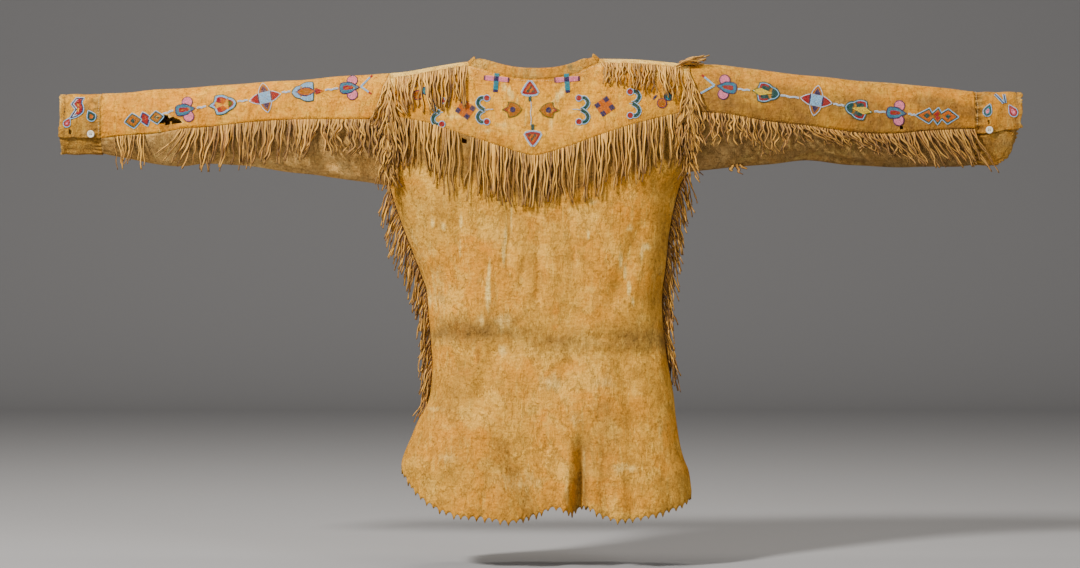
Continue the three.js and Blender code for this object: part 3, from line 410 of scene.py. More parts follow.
def hide_material(name, base, warm, dark, light):
    """Smoke-tanned hide: warm and grey blotches, fine wrinkles with painted shade in their creases, pores,
    pale scuffs, grime and painted shade.
    """
    warm_patch, grime, inner_face = (0.80, 0.300, 0.012, 1), (0.150, 0.088, 0.034, 1), (0.34, 0.185, 0.050, 1)
    worn_pale, pores, threads_tint = (1.0, 0.70, 0.20, 1), (0.78, 0.73, 0.66, 1), (0.74, 0.70, 0.64, 1)
    s = Shader(name, Roughness=0.9, Sheen_Weight=0.01, Sheen_Roughness=0.6, Specular_IOR_Level=0.05)
    s.surface.inputs["Sheen Tint"].default_value = (1.0, 0.72, 0.40, 1)
    broad = s.noise(8, 3, 0.55)
    cloud = s.noise(17, 4, 0.6)
    middle = s.noise(44, 6, 0.68)
    fine = s.noise(190, 5, 0.7)
    speck = s.noise(520, 3, 0.7)
    nap = s.noise(1100, 3, 0.6, (1, 1, 0.6))
    streaks = s.noise(120, 5, 0.75, (1, 1, 0.16))
    threads = s.noise(260, 4, 0.7, (0.2, 1, 1))
    creased = s.noise(40, 7, 0.64, (1, 1, 0.5))
    away = s.node("ShaderNodeMath", {"operation": "ABSOLUTE"}, {0: creased - 0.5})
    lines = 1 - s.ease(away, 0.0, 0.026)
    colour = s.mix(s.ease(broad, 0.40, 0.62), (*base, 1), (*warm, 1))
    colour = s.mix(s.ease(middle, 0.46, 0.68) * 0.42, colour, (*dark, 1))
    colour = s.mix(s.ease(cloud, 0.50, 0.64) * 0.55, colour, (*light, 1))
    colour = s.mix(s.ease(streaks, 0.52, 0.66) * 0.55, colour, (*light, 1))
    colour = s.mix(s.ease(cloud, 0.50, 0.36) * 0.34, colour, (*dark, 1))
    # Painted shade: the fine crease lines, which the bump below sinks, are also painted darker.
    colour = s.mix(lines * s.ease(cloud, 0.36, 0.56) * 0.50, colour, (*dark, 1))
    colour = s.mix(s.mark("warm") * s.ease(middle * 0.7 + fine * 0.5, 0.48, 0.75), colour, warm_patch)
    # This mark mixes in one dark colour: real grime, and painted shade in folds, at the body's sides, under
    # the fringes and in recesses.
    colour = s.mix(s.mark("grime") * (0.30 + middle * 0.8), colour, grime)
    scuff = s.mark("worn") * s.ease(streaks * 0.7 + middle * 0.5 + s.mark("worn") * 0.3, 0.58, 0.84)
    colour = s.mix(scuff, colour, worn_pale)
    colour = s.mix(s.ease(fine, 0.34, 0.62), s.mix(1.0, colour, pores, "MULTIPLY"), colour)
    colour = s.mix(s.ease(speck * 0.5 + threads * 0.5, 0.38, 0.56),
                   s.mix(1.0, colour, threads_tint, "MULTIPLY"), colour)
    colour = s.mix(0.7 * s.mark("inside"), colour, inner_face)
    wrinkle = s.noise(62, 6, 0.7, (1, 1, 0.6))
    soft = s.bump(wrinkle - lines * 0.10, 0.007, 1.0)
    grain = s.bump(fine + threads * 0.5, 0.0018, 0.8, soft)
    s.feed(Base_Color=colour, Roughness=0.74 + fine * 0.2, Normal=s.bump(nap + speck, 0.0005, 0.7, grain))
    return s.material


def finish(piece, node_names, material):
    """Gives a piece its material, its place in the frame and the solids that it stands for, if any."""
    piece.data.materials.append(material)
    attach(piece, "root")
    if node_names:
        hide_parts(*node_names)


SMOKED = hide_material("smoked_hide", (0.76, 0.395, 0.050), (0.80, 0.350, 0.028), (0.40, 0.210, 0.036),
                       (0.98, 0.59, 0.105))

FRONT_COLUMNS, FRONT_ROWS = 240, 100
TEETH_PITCH = 5      # columns in one saw tooth
TOOTH_LONG = 9.5
TOOTH_PROFILE = np.array([0.05, 0.30, 1, 0.42, 0.12])
TEETH_FROM, TEETH_OVER = 0.965, 0.035       # share of the way down where they start, and their share


def hem_fractions(face, hem, columns):
    """Fractions that space a hem's columns evenly."""
    x = np.linspace(FRONT_HEM[0][0], FRONT_HEM[-1][0], 600)
    return even_spacing(columns, body_points(face, x, along(hem, x), False))


def saw_teeth(columns, down, seed):
    """How far the snipped teeth reach: thorns of uneven length with rounded gaps, in the last rows."""
    rng = np.random.default_rng(seed)
    k = np.arange(columns + 1)
    size = rng.uniform(0.55, 1.2, columns // TEETH_PITCH + 2)[k // TEETH_PITCH]
    reach = TOOTH_LONG * size * TOOTH_PROFILE[k % TEETH_PITCH]
    return reach * smooth((down - TEETH_FROM) / TEETH_OVER)


share = np.linspace(0, 1, FRONT_COLUMNS + 1)
hem_share = hem_fractions(-1, FRONT_HEM, FRONT_COLUMNS)
down = np.linspace(0, 1, FRONT_ROWS + 1)[:, None] ** 0.97
blend = smooth(down / 0.2)
part = lerp(share, hem_share, blend)
top_x = lerp(side_x(LEFT_ARM, 0.0), side_x(RIGHT_ARM, 0.0), share)
hem_at = lerp(FRONT_HEM[0][0], FRONT_HEM[-1][0], hem_share)
z = lerp(along(YOKE_SEAM, top_x) - SEAM / 2, along(FRONT_HEM, hem_at), down)
x = lerp(side_x(LEFT_ARM, z), side_x(RIGHT_ARM, z), part)
x, z, front_cells, _ = open_holes(x, z, [(-124, -144, 13, 10, 0.2, 0)])
outer = body_points(-1, x, z)
normals = body_normals(-1, x, z)
outer[..., 2] -= saw_teeth(FRONT_COLUMNS, down, 4)

WHITE_SCUFFS = [
    (-84, -402, 5, 30, 1.0), (-82, -372, 3, 22, 0.9), (-57, -340, 3, 22, 0.9), (-54, -310, 3, 26, 0.8),
    (144, -352, 4, 12, 1.0), (151, -372, 3, 14, 1.0), (158, -398, 4, 14, 1.0), (165, -420, 3, 8, 0.9),
    (189, -326, 8, 6, 1.0), (180, -338, 3, 12, 0.8), (-179, -285, 4, 9, 1.0), (-160, -292, 4, 7, 1.0),
    (-130, -284, 3, 16, 0.9), (-132, -330, 2, 22, 0.7), (88, -306, 3, 9, 1.0), (94, -250, 9, 5, 0.7),
    (-44, -270, 2, 30, 0.7), (-64, -240, 3, 20, 0.7), (160, -295, 7, 7, 0.7), (-95, -450, 5, 14, 0.6),
    (-60, -505, 8, 9, 0.7), (-58, -455, 16, 18, 0.5), (26, -560, 22, 20, 0.6), (66, -620, 12, 16, 0.45),
    (-178, -606, 14, 4, 0.7), (150, -706, 22, 9, 0.7), (80, -700, 4, 30, 0.5), (52, -730, 5, 40, 0.5),
    (-150, -690, 26, 12, 0.45), (-30, -730, 40, 20, 0.4), (212, -640, 6, 20, 0.4), (-186, -420, 5, 14, 0.7),
    (-212, -330, 30, 40, 0.35), (-175, -400, 30, 40, 0.4), (110, -560, 20, 12, 0.4)]
WARM_PATCHES = [
    (-112, -318, 26, 16, 0.9), (-86, -330, 14, 12, 0.8), (84, -328, 12, 10, 1.0), (-4, -300, 14, 26, 0.6),
    (26, -430, 20, 18, 0.6), (12, -620, 26, 20, 0.7), (-96, -660, 16, 24, 0.6), (-160, -640, 20, 20, 0.5),
    (-100, -354, 12, 12, 0.9), (76, -334, 18, 14, 0.8), (156, -264, 22, 20, 0.9), (30, -468, 8, 8, 0.9),
    (-102, -512, 6, 34, 0.8), (-126, -545, 10, 14, 0.6), (120, -400, 40, 60, 0.35), (60, -240, 50, 30, 0.4),
    (-20, -560, 60, 60, 0.35), (110, -690, 30, 60, 0.4), (180, -640, 30, 50, 0.3), (20, -380, 40, 40, 0.35)]
# Darker patches: grime, most of it along the belt line, and painted shade in the fold valleys near the hem
# and down the sides.
DARK_MARKS = [
    (-190, -262, 40, 30, 0.35), (-110, -470, 85, 26, 0.8), (190, -486, 60, 24, 0.7), (40, -492, 90, 16, 0.35),
    (-150, -590, 50, 60, 0.4), (120, -640, 22, 90, 0.55), (84, -700, 18, 70, 0.5), (-60, -700, 40, 50, 0.3),
    (-220, -420, 40, 160, 0.4), (215, -400, 22, 150, 0.4), (-101, -520, 3, 30, 0.8),
    (-130, -540, 30, 16, 0.5)]
BELT_AT, BELT_WIDE, BELT_TILT = -478, 25, 0.05


def body_marks(x, z, folds):
    """Scuffs, warm patches, grime and painted shade: grey along the belt line, darker towards the hem, and
    painted shade at the sides and in the folds.

    A mark is 0 to 1 at each point, and the hide's material mixes its colour in by that share.
    """
    belt = np.exp(-((z - BELT_AT + BELT_TILT * x + 8 * np.sin(x / 40)) / BELT_WIDE) ** 2)
    wave = blotches(x, z, 23, 31, 37, 61)
    return {
        "worn": spots(x, z, WHITE_SCUFFS) + 0.10 * wave,
        "warm": spots(x, z, WARM_PATCHES) + 0.25 * wave,
        # Painted shade: darker at the sides, where the body rounds away, and in the fold valleys.
        "grime": 0.8 * spots(x, z, DARK_MARKS) + 0.52 * belt * (0.5 + 0.5 * wave)
        + 0.15 * smooth((-z - 735) / 60) + 0.15 * smooth((np.abs(x) - 190) / 50)
        + 0.5 * smooth(fold_depth(folds, x, z) / 22)}


marks = body_marks(x, z, FRONT_FOLDS)
below_seam = along(YOKE_SEAM, x) - z        # painted shade on the hide where the yoke's fringe hangs
marks["grime"] += 1.8 * smooth((90 - below_seam + 6 * np.sin(x / 5)) / 30) * (1 - marks["grime"])
front = hide_panel("front_panel", outer, normals, marks, keep=front_cells)
finish(front, ["front"], SMOKED)


# ---------------------------------------------------------------- yoke
# A separate panel of brighter hide over the chest, from the shoulder seams and the neck down to the
# V seam. It is worn almost white along the shoulders, and stained round the neck.

def over_for(drop):
    """The way over the shoulder, along its roll and then straight down, that gives a drop."""
    turn = np.arccos(np.clip(1 - drop / ROLL, -1, 1))
    return np.where(drop < ROLL, ROLL * turn, ROLL * (np.pi / 2 - 1) + drop)


def drop_over(over):
    """Drop below the shoulder line after a way over it."""
    turn = np.abs(over) / ROLL
    return np.where(turn < np.pi / 2, ROLL * (1 - np.cos(turn)), ROLL * (1 + turn - np.pi / 2))


FRONT_NECK = [(-117, 10), (-90, 20), (-67, 29), (-40, 36), (-12, 39), (20, 39), (43, 36), (70, 28),
              (91, 17), (106, 10)]
SHOULDER_SEAM_DROP = 10.0                   # the front shoulder seam lies this far below the ridge
NECK_FROM, NECK_TO = 7 / 34, 27 / 34        # share of the top edge that the neck takes
TOP_LEFT, TOP_RIGHT = side_x(LEFT_ARM, 0.0), side_x(RIGHT_ARM, 0.0)
SHOULDER_OVER = float(over_for(SHOULDER_SEAM_DROP))

YOKE_COLUMNS, YOKE_ROWS = 204, 36


def top_edge_x(share):
    """Columns along the top: even on each shoulder and even along the neck."""
    return np.interp(share, [0, NECK_FROM, NECK_TO, 1],
                     [TOP_LEFT, FRONT_NECK[0][0], FRONT_NECK[-1][0], TOP_RIGHT])


share = np.linspace(0, 1, YOKE_COLUMNS + 1)
x = top_edge_x(share)
on_neck = (share > NECK_FROM - 1e-9) & (share < NECK_TO + 1e-9)
top_drop = np.where(on_neck, along(FRONT_NECK, x), drop_over(SHOULDER_OVER + SEAM / 2))
down = np.linspace(0, 1, YOKE_ROWS + 1)[:, None] ** 1.25
z = lerp(ridge(x) - top_drop, along(YOKE_SEAM, x) + SEAM / 2, down)
x = np.broadcast_to(x, z.shape)
outer = body_points(-1, x, z)
normals = body_normals(-1, x, z)
from_seam, from_neck = z - along(YOKE_SEAM, x), ridge(x) - z - top_drop
near_seam = np.exp(-(from_seam / 7) ** 2) * smooth(from_seam / 2)
near_neck = on_neck * np.exp(-(from_neck / 9) ** 2) * smooth(from_neck / 2)
pucker = 0.9 * near_seam * (1 + np.sin(x * 0.9)) + 1.2 * near_neck * (1 + np.sin(x * 0.45 + np.sin(x / 9)))
outer -= normals * pucker[..., None]


def neck_edge(outer, normals, on_neck):
    """A panel's neck edge: its outer points, its inner points and the way on beyond the edge."""
    return outer[0, on_neck], (outer[0] - normals[0] * HIDE)[on_neck], (outer[0] - outer[1])[on_neck]


yoke_neck = neck_edge(outer, normals, on_neck)

YOKE_SCUFFS = [
    (-56, -52, 5, 8, 0.8), (-48, -60, 4, 9, 0.8), (-42, -68, 4, 10, 0.7), (-34, -76, 3, 8, 0.6),
    (50, -54, 5, 6, 0.8), (42, -62, 5, 9, 0.9), (35, -70, 4, 10, 0.9), (28, -80, 3, 9, 0.7),
    (-60, -118, 12, 5, 0.5), (-20, -104, 3, 14, 0.5), (24, -116, 4, 14, 0.6), (70, -120, 14, 5, 0.5),
    (-140, -104, 20, 5, 0.5), (60, -96, 10, 3, 0.6), (-84, -128, 14, 4, 0.5), (110, -92, 12, 4, 0.5)]


def beyond_neck(x):
    """0 beside the neck and 1 out on the shoulders."""
    return smooth((np.abs(x + 5) - 95) / 40)


def shoulder_wear(x, z, reach, *waves):
    """Wear along the shoulder tops that ends in a ragged edge, `reach` below the shoulder line."""
    long_wave, bend, short_wave = waves
    ragged = reach + 7 * np.sin(x / long_wave + 2 * np.sin(x / bend)) + 4 * np.sin(x / short_wave)
    return beyond_neck(x) * np.exp(-((ridge(x) - z) / ragged) ** 2)


def yoke_marks(x, z):
    """Pale worn shoulder tops, warm patches below, soil round the neck and along the V seam."""
    wave = blotches(x, z, 19, 17, 21, 43)
    worn = shoulder_wear(x, z, 24, 7, 19, 2.7) * (0.55 + 0.6 * wave)
    by_seam = np.exp(-((z - along(YOKE_SEAM, x)) / 16) ** 2)
    round_neck = (1 - beyond_neck(x)) * np.exp(-((ridge(x) - z - 30) / 16) ** 2)
    return {"worn": worn + 0.15 * wave + spots(x, z, YOKE_SCUFFS), "warm": 0.35 + 0.4 * wave,
            "grime": 0.35 * by_seam + 0.5 * round_neck * wave}


BRIGHT = hide_material("bright_hide", (0.85, 0.415, 0.032), (0.87, 0.35, 0.016), (0.45, 0.210, 0.025),
                       (0.99, 0.59, 0.075))
yoke = hide_panel("yoke_panel", outer, normals, yoke_marks(x, z))
finish(yoke, ["front_yoke"], BRIGHT)

# ---------------------------------------------------------------- back
# The back is one hide. It runs over the shoulders to the front shoulder seams, so that no seam lies
# on top of them, and ends in a snipped hem like the front's.

BACK_NECK_X = [(0, -117), (0.09, -120), (0.18, -114), (0.27, -90), (0.41, -40), (0.5, -5), (0.59, 30),
               (0.73, 80), (0.82, 103), (0.91, 109), (1, 106)]
BACK_NECK_OVER = [(0, -30.6), (0.09, 0), (0.18, 30), (0.27, 52), (0.41, 71), (0.5, 75), (0.59, 71),
                  (0.73, 52), (0.82, 30), (0.91, 0), (1, -30.6)]
BACK_HEM = [(-236, -708), (-215, -735), (-160, -768), (-60, -780), (40, -776), (120, -784),
            (210, -778), (255, -765), (270, -750)]
BACK_FOLDS = [(-70, -560, -92, -780, 18, 18), (30, -600, 42, -780, 16, 10),
              (150, -540, 172, -780, 22, 14)]
BACK_CREASES = [
    (-40, -160, -20, -330, 16, 2.4), (60, -150, 30, -300, 13, 2.0), (-190, -260, -110, -430, 15, 2.8),
    (195, -250, 110, -410, 16, 2.6), (-150, -500, -60, -530, 9, 1.9), (120, -490, 190, -520, 9, 1.9),
    (10, -420, -20, -600, 15, 2.4), (-200, -560, -150, -700, 14, 2.4), (90, -560, 60, -700, 12, 2.2)]
BACK_COLUMNS, BESIDE_ROWS, BELOW_ROWS = 170, 44, 60

share = np.linspace(0, 1, BACK_COLUMNS + 1)
neck_share = (share - NECK_FROM) / (NECK_TO - NECK_FROM)
on_neck = (neck_share > -1e-9) & (neck_share < 1 + 1e-9)
start_x = np.where(on_neck, along(BACK_NECK_X, neck_share), top_edge_x(share))
start_over = np.where(on_neck, along(BACK_NECK_OVER, neck_share), -(SHOULDER_OVER - SEAM / 2))
hem_share = hem_fractions(1, BACK_HEM, BACK_COLUMNS)
hem_at = lerp(FRONT_HEM[0][0], FRONT_HEM[-1][0], hem_share)
hem_over = over_for(ridge(hem_at) - along(BACK_HEM, hem_at))


def row_ways(arm, hem_z):
    """How far down the side edge each row is: even round the armhole, then even to the hem."""
    half = (arm["top"] - arm["bottom"]) / 2
    turns = np.radians(np.linspace(-26, 180, BESIDE_ROWS))
    beside = np.sign(turns) * over_for(half * (1 - np.cos(turns)))
    beside[0] = -(SHOULDER_OVER - SEAM / 2)
    below = np.linspace(beside[-1], over_for(arm["top"] - hem_z), BELOW_ROWS + 1)[1:]
    ways = np.r_[beside, below]
    return (ways - ways[0]) / (ways[-1] - ways[0])


left, right = row_ways(LEFT_ARM, BACK_HEM[0][1]), row_ways(RIGHT_ARM, BACK_HEM[-1][1])
to_underarm = np.minimum(left / left[BESIDE_ROWS - 1], 1)[:, None]
part = lerp((start_x - TOP_LEFT) / (TOP_RIGHT - TOP_LEFT), hem_share, to_underarm)
down = lerp(left[:, None], right[:, None], part)
over = lerp(start_over, hem_over, down)
z = ridge(lerp(TOP_LEFT, TOP_RIGHT, part)) - drop_over(over)
x = lerp(side_x(LEFT_ARM, z), side_x(RIGHT_ARM, z), part)
outer, normals = body_points(1, x, z), body_normals(1, x, z)
in_front = np.where(over < 0, -1, 1)
outer[..., 1] *= in_front
normals[..., 1] *= in_front
back_neck = neck_edge(outer, normals, on_neck)
outer[..., 2] -= saw_teeth(BACK_COLUMNS, down, 9)
marks = body_marks(x, z, BACK_FOLDS)
marks["worn"] = 0.5 * marks["worn"] + 0.75 * shoulder_wear(x, z, 18, 9, 23, 3.1)
back = hide_panel("back_panel", outer, normals, marks)
finish(back, ["back"], SMOKED)

# ---------------------------------------------------------------- sleeves
# Each sleeve is sewn from an upper panel of bright hide, beaded in front, and an under panel that is
# greyer from handling. They meet in the fringed front seam and in a plain seam behind.

LEFT_SLEEVE = dict(
    arm=LEFT_ARM, wrist=-755,
    top=[(-755, -59), (-705, -57), (-666, -53), (-617, -50), (-571, -47), (-499, -41), (-416, -36),
         (-334, -29), (-256, -24)],
    bottom=[(-755, -164), (-705, -174), (-666, -181), (-617, -186), (-571, -181), (-499, -186),
            (-416, -198), (-334, -208), (-256, -220)],
    seam=[(-755, -138), (-705, -133), (-666, -131), (-617, -123), (-571, -120), (-499, -112),
          (-416, -107), (-334, -107), (-256, -107)],
    half=[(-755, 25), (-705, 28), (-666, 31), (-617, 34), (-571, 36), (-499, 39), (-416, 42),
          (-334, 45), (-256, 48)],
    creases=[(-300, 150, -470, 118, 8, 4.5), (-360, 175, -560, 150, 9, 4.8), (-520, 128, -640, 112, 6, 3.5),
             (-300, 60, -420, 40, 9, 2.6), (-560, 30, -660, 44, 7, 2.4), (-690, 100, -740, 80, 5, 2.2),
             (-330, 230, -480, 262, 9, 4.2), (-520, 300, -640, 280, 8, 3.8), (-280, 340, -400, 318, 9, 3.2)])
RIGHT_SLEEVE = dict(
    arm=RIGHT_ARM, wrist=758,
    top=[(262, -9), (322, -10), (363, -15), (404, -21), (471, -28), (549, -36), (611, -41),
         (673, -46), (734, -53), (758, -55)],
    bottom=[(262, -196), (322, -189), (363, -186), (404, -182), (471, -176), (549, -184), (611, -187),
            (673, -187), (734, -186), (758, -184)],
    seam=[(262, -95), (322, -97), (363, -104), (404, -111), (471, -118), (549, -129), (611, -131),
          (673, -126), (734, -123), (758, -123)],
    half=[(262, 48), (322, 46), (363, 44), (404, 42), (471, 39), (549, 36), (611, 33), (673, 31),
          (734, 28), (758, 27)],
    creases=[(330, 128, 460, 118, 8, 4.5), (440, 150, 590, 166, 9, 4.8), (480, 112, 610, 132, 6, 5.1),
             (640, 140, 740, 122, 7, 4.2), (300, 40, 420, 60, 9, 2.4), (560, 50, 660, 36, 7, 2.4),
             (330, 262, 480, 232, 9, 4.2), (520, 286, 650, 300, 8, 3.8), (290, 318, 400, 340, 9, 3.2)])
BACK_SEAM = 112.0     # the plain seam lies this many degrees behind the top
OUT_OF_REACH = 900    # lifts the far side of a sleeve or cuff away from a hole in the near side


def sleeve_heights(sleeve, x):
    """Height of the sleeve's middle, and half its height."""
    top, bottom = along(sleeve["top"], x), along(sleeve["bottom"], x)
    return (top + bottom) / 2, (top - bottom) / 2


def sleeve_points(sleeve, x, angle):
    """Points of the egg-shaped sleeve; the angle in degrees runs from the top towards the front."""
    x, angle = np.broadcast_arrays(np.asarray(x, float), np.asarray(angle, float))
    turn = np.radians(angle)
    middle, high = sleeve_heights(sleeve, x)
    from_root, from_wrist = np.abs(x - sleeve["arm"]["plane"]), np.abs(x - sleeve["wrist"])
    inside = smooth(from_root / 40) * smooth(from_wrist / 30)
    sunk = crease_depth(sleeve["creases"], x, np.mod(angle, 360)) * inside
    gather = np.exp(-(from_wrist / 15) ** 2) * smooth(from_wrist / 3)
    sunk = sunk + 1.3 * gather * (1 + np.sin(angle * 0.36 + 1.7 * np.sin(angle * 0.05)))
    sunk = sunk + 0.5 * np.sin(x / 17 + angle / 33) * inside
    y = -(along(sleeve["half"], x) - sunk) * np.sin(turn) * (1 + EGG * np.cos(turn))
    return np.stack([x, y, middle + (high - sunk) * np.cos(turn)], -1)


def height_angle(z, middle, high, most=1.0):
    """The angle from the top at which a section with this middle and half height is at height z."""
    return np.degrees(np.arccos(np.clip((z - middle) / high, -1, most)))


def seam_angle(sleeve, x):
    """Angle of the fringed front seam, in degrees."""
    return height_angle(along(sleeve["seam"], x), *sleeve_heights(sleeve, x))


def seam_gap(sleeve, x):
    """The gap at a seam, in degrees."""
    return np.degrees(SEAM / sleeve_heights(sleeve, x)[1])


def grid_normals(outer, middle):
    """Unit normals of a grid, away from a middle line given for each row."""
    across = np.gradient(outer, axis=1)
    down = np.gradient(outer, axis=0)
    normals = np.cross(across, down)
    normals /= np.linalg.norm(normals, axis=-1, keepdims=True)
    flip = np.sign(np.sum(normals * (outer - middle), axis=-1, keepdims=True))
    return normals * flip


def sleeve_panel(name, sleeve, angles, stations, around, marks, holes=()):
    """One panel between two angles that may change along the sleeve."""
    gap = sleeve["arm"]["sign"] * SEAM / 2
    x = np.linspace(sleeve["arm"]["plane"] + gap, sleeve["wrist"] - gap, stations + 1)
    start, end = angles(sleeve, x)
    angle = lerp(start[:, None], end[:, None], np.linspace(0, 1, around + 1))
    x = np.broadcast_to(x[:, None], angle.shape)
    cells, lip = None, 0 * angle
    if holes:
        middle, high = sleeve_heights(sleeve, x)
        z = middle + high * np.cos(np.radians(angle))
        behind = angle < 0
        moved_x, moved_z, cells, lip = open_holes(x, np.where(behind, z + OUT_OF_REACH, z), holes)
        x = np.where(behind, x, moved_x)
        moved = height_angle(moved_z, *sleeve_heights(sleeve, x))
        angle = np.where((moved_z != z) & ~behind, moved, angle)
    outer = sleeve_points(sleeve, x, angle)
    middle = np.stack([x, 0 * x, sleeve_heights(sleeve, x)[0]], -1)
    normals = grid_normals(outer, middle)
    for edge in (0, -1):
        normals[edge, :, 0] = 0
        normals[edge] /= np.linalg.norm(normals[edge], axis=-1, keepdims=True)
    outer = outer + normals * lip[..., None]
    worn = marks(sleeve, x, angle)
    worn["worn"] = worn["worn"] + 0.5 * np.maximum(lip, 0)
    # Painted shade: the torn tongue, sunk inside the hole, is painted darker.
    worn["grime"] = worn["grime"] - 0.14 * np.minimum(lip, 0)
    return hide_panel(name, outer, normals, worn, keep=cells)


def upper_angles(sleeve, x):
    """From the plain seam behind, over the top, to the fringed seam."""
    return -BACK_SEAM + seam_gap(sleeve, x), seam_angle(sleeve, x) - seam_gap(sleeve, x)


def under_angles(sleeve, x):
    """From the fringed seam, round below, to the plain seam behind."""
    return seam_angle(sleeve, x) + seam_gap(sleeve, x), 360 - BACK_SEAM - seam_gap(sleeve, x)


def sleeve_marks(sleeve, x, angle):
    """Bright hide, worn pale along the top, greyer behind and towards the wrist; the right one darker, with a
    grey stain and painted shade.
    """
    wave = blotches(x, angle, 27, 22, 17, 71)
    top = np.exp(-((np.mod(angle + 180, 360) - 180) / 14) ** 2)
    # Painted shade: the right sleeve is painted darker all over, as the light falls from the left; the ramp
    # towards its fringed seam, below the beads, is a grey stain.
    soiled_and_shaded = 0.42 + 0.6 * smooth((angle - 36) / 30) if sleeve["arm"]["sign"] > 0 else 0.14
    behind, by_wrist = smooth(-angle / 60), smooth((np.abs(x) - 640) / 80)
    return {"worn": 0.5 * top * wave + 0.12 * wave, "warm": 0.6 + 0.45 * wave,
            "grime": soiled_and_shaded * (0.6 + 0.8 * wave) + 0.25 * behind + 0.25 * by_wrist * wave}


def under_marks(sleeve, x, angle):
    """Greyer below from handling, the left only towards the wrist and the right all along; painted shade
    where the fringe hangs over it.
    """
    wave = blotches(x, angle, 33, 25, 15, 57)
    if sleeve["arm"]["sign"] < 0:
        grime = 0.14 * wave + 0.30 * smooth((-x - 450) / 180)
    else:
        grime = 0.55 + 0.40 * wave + 0.50 * smooth((x - 400) / 120)
    # Painted shade: darker in a band below the fringed seam, where its fringe hangs.
    fringe = smooth(1 - np.abs(angle - seam_angle(sleeve, x) - 25) / 40)
    return {"worn": 0.3 * wave, "warm": 0.35 * wave, "grime": grime + 0.6 * fringe}


SOILED = hide_material("soiled_hide", (0.70, 0.42, 0.135), (0.74, 0.40, 0.100), (0.40, 0.235, 0.080),
                       (0.86, 0.58, 0.21))

SLEEVE_HOLES = dict(left=[(-637, -113, 38, 28, 0.36, 0.5)], right=[(630, -120, 7, 6, 0.2, 0)])
for side, sleeve in (("left", LEFT_SLEEVE), ("right", RIGHT_SLEEVE)):
    upper = sleeve_panel(f"upper_sleeve_{side}_hide", sleeve, upper_angles, 170, 46, sleeve_marks,
                         SLEEVE_HOLES[side])
    finish(upper, [f"upper_sleeve_{side}"], BRIGHT)
    under = sleeve_panel(f"under_sleeve_{side}_hide", sleeve, under_angles, 130, 34, under_marks)
    finish(under, [f"under_sleeve_{side}"], SOILED)

# ---------------------------------------------------------------- cuffs
# Open bands of bright hide, gathered to the sleeve. The front edge with the buttonhole hangs free
# over the lower part, which runs round the bottom and up behind it and carries the button.

LEFT_CUFF = dict(start=-755, end=-829, top=-60, bottom=-166, half=25, slant=0, edge=(-138, -137),
                 torn=1.0, gather=0.9)
RIGHT_CUFF = dict(start=758, end=843, top=-56, bottom=-185, half=27, slant=42, edge=(-132, -121),
                  torn=5.0, gather=3.6)
BUTTONHOLES = dict(left=(-808, -127, 5, 10, 0.1, 0), right=(781, -111, 4, 8, 0.1, 0))
CUFF_WRAP = 385         # degrees from the front edge round to the end of the lap behind it
LAP_TUCK = 3.6          # the lap lies this far inside the front
HEM_GROOVE = 9          # distance of the hem's stitched groove from the end
CUFF_STAIN = (-771, -82, 9)     # x, z and radius of the ring-shaped stain on the left cuff


def cuff_heights(cuff):
    """Height of the cuff's middle, and half its height."""
    return (cuff["top"] + cuff["bottom"]) / 2, (cuff["top"] - cuff["bottom"]) / 2


def cuff_points(cuff, x, angle):
    """Points of the egg-shaped cuff."""
    turn = np.radians(angle)
    middle, high = cuff_heights(cuff)
    y = -cuff["half"] * np.sin(turn) * (1 + EGG * np.cos(turn))
    return np.stack([x, y, middle + high * np.cos(turn)], -1)


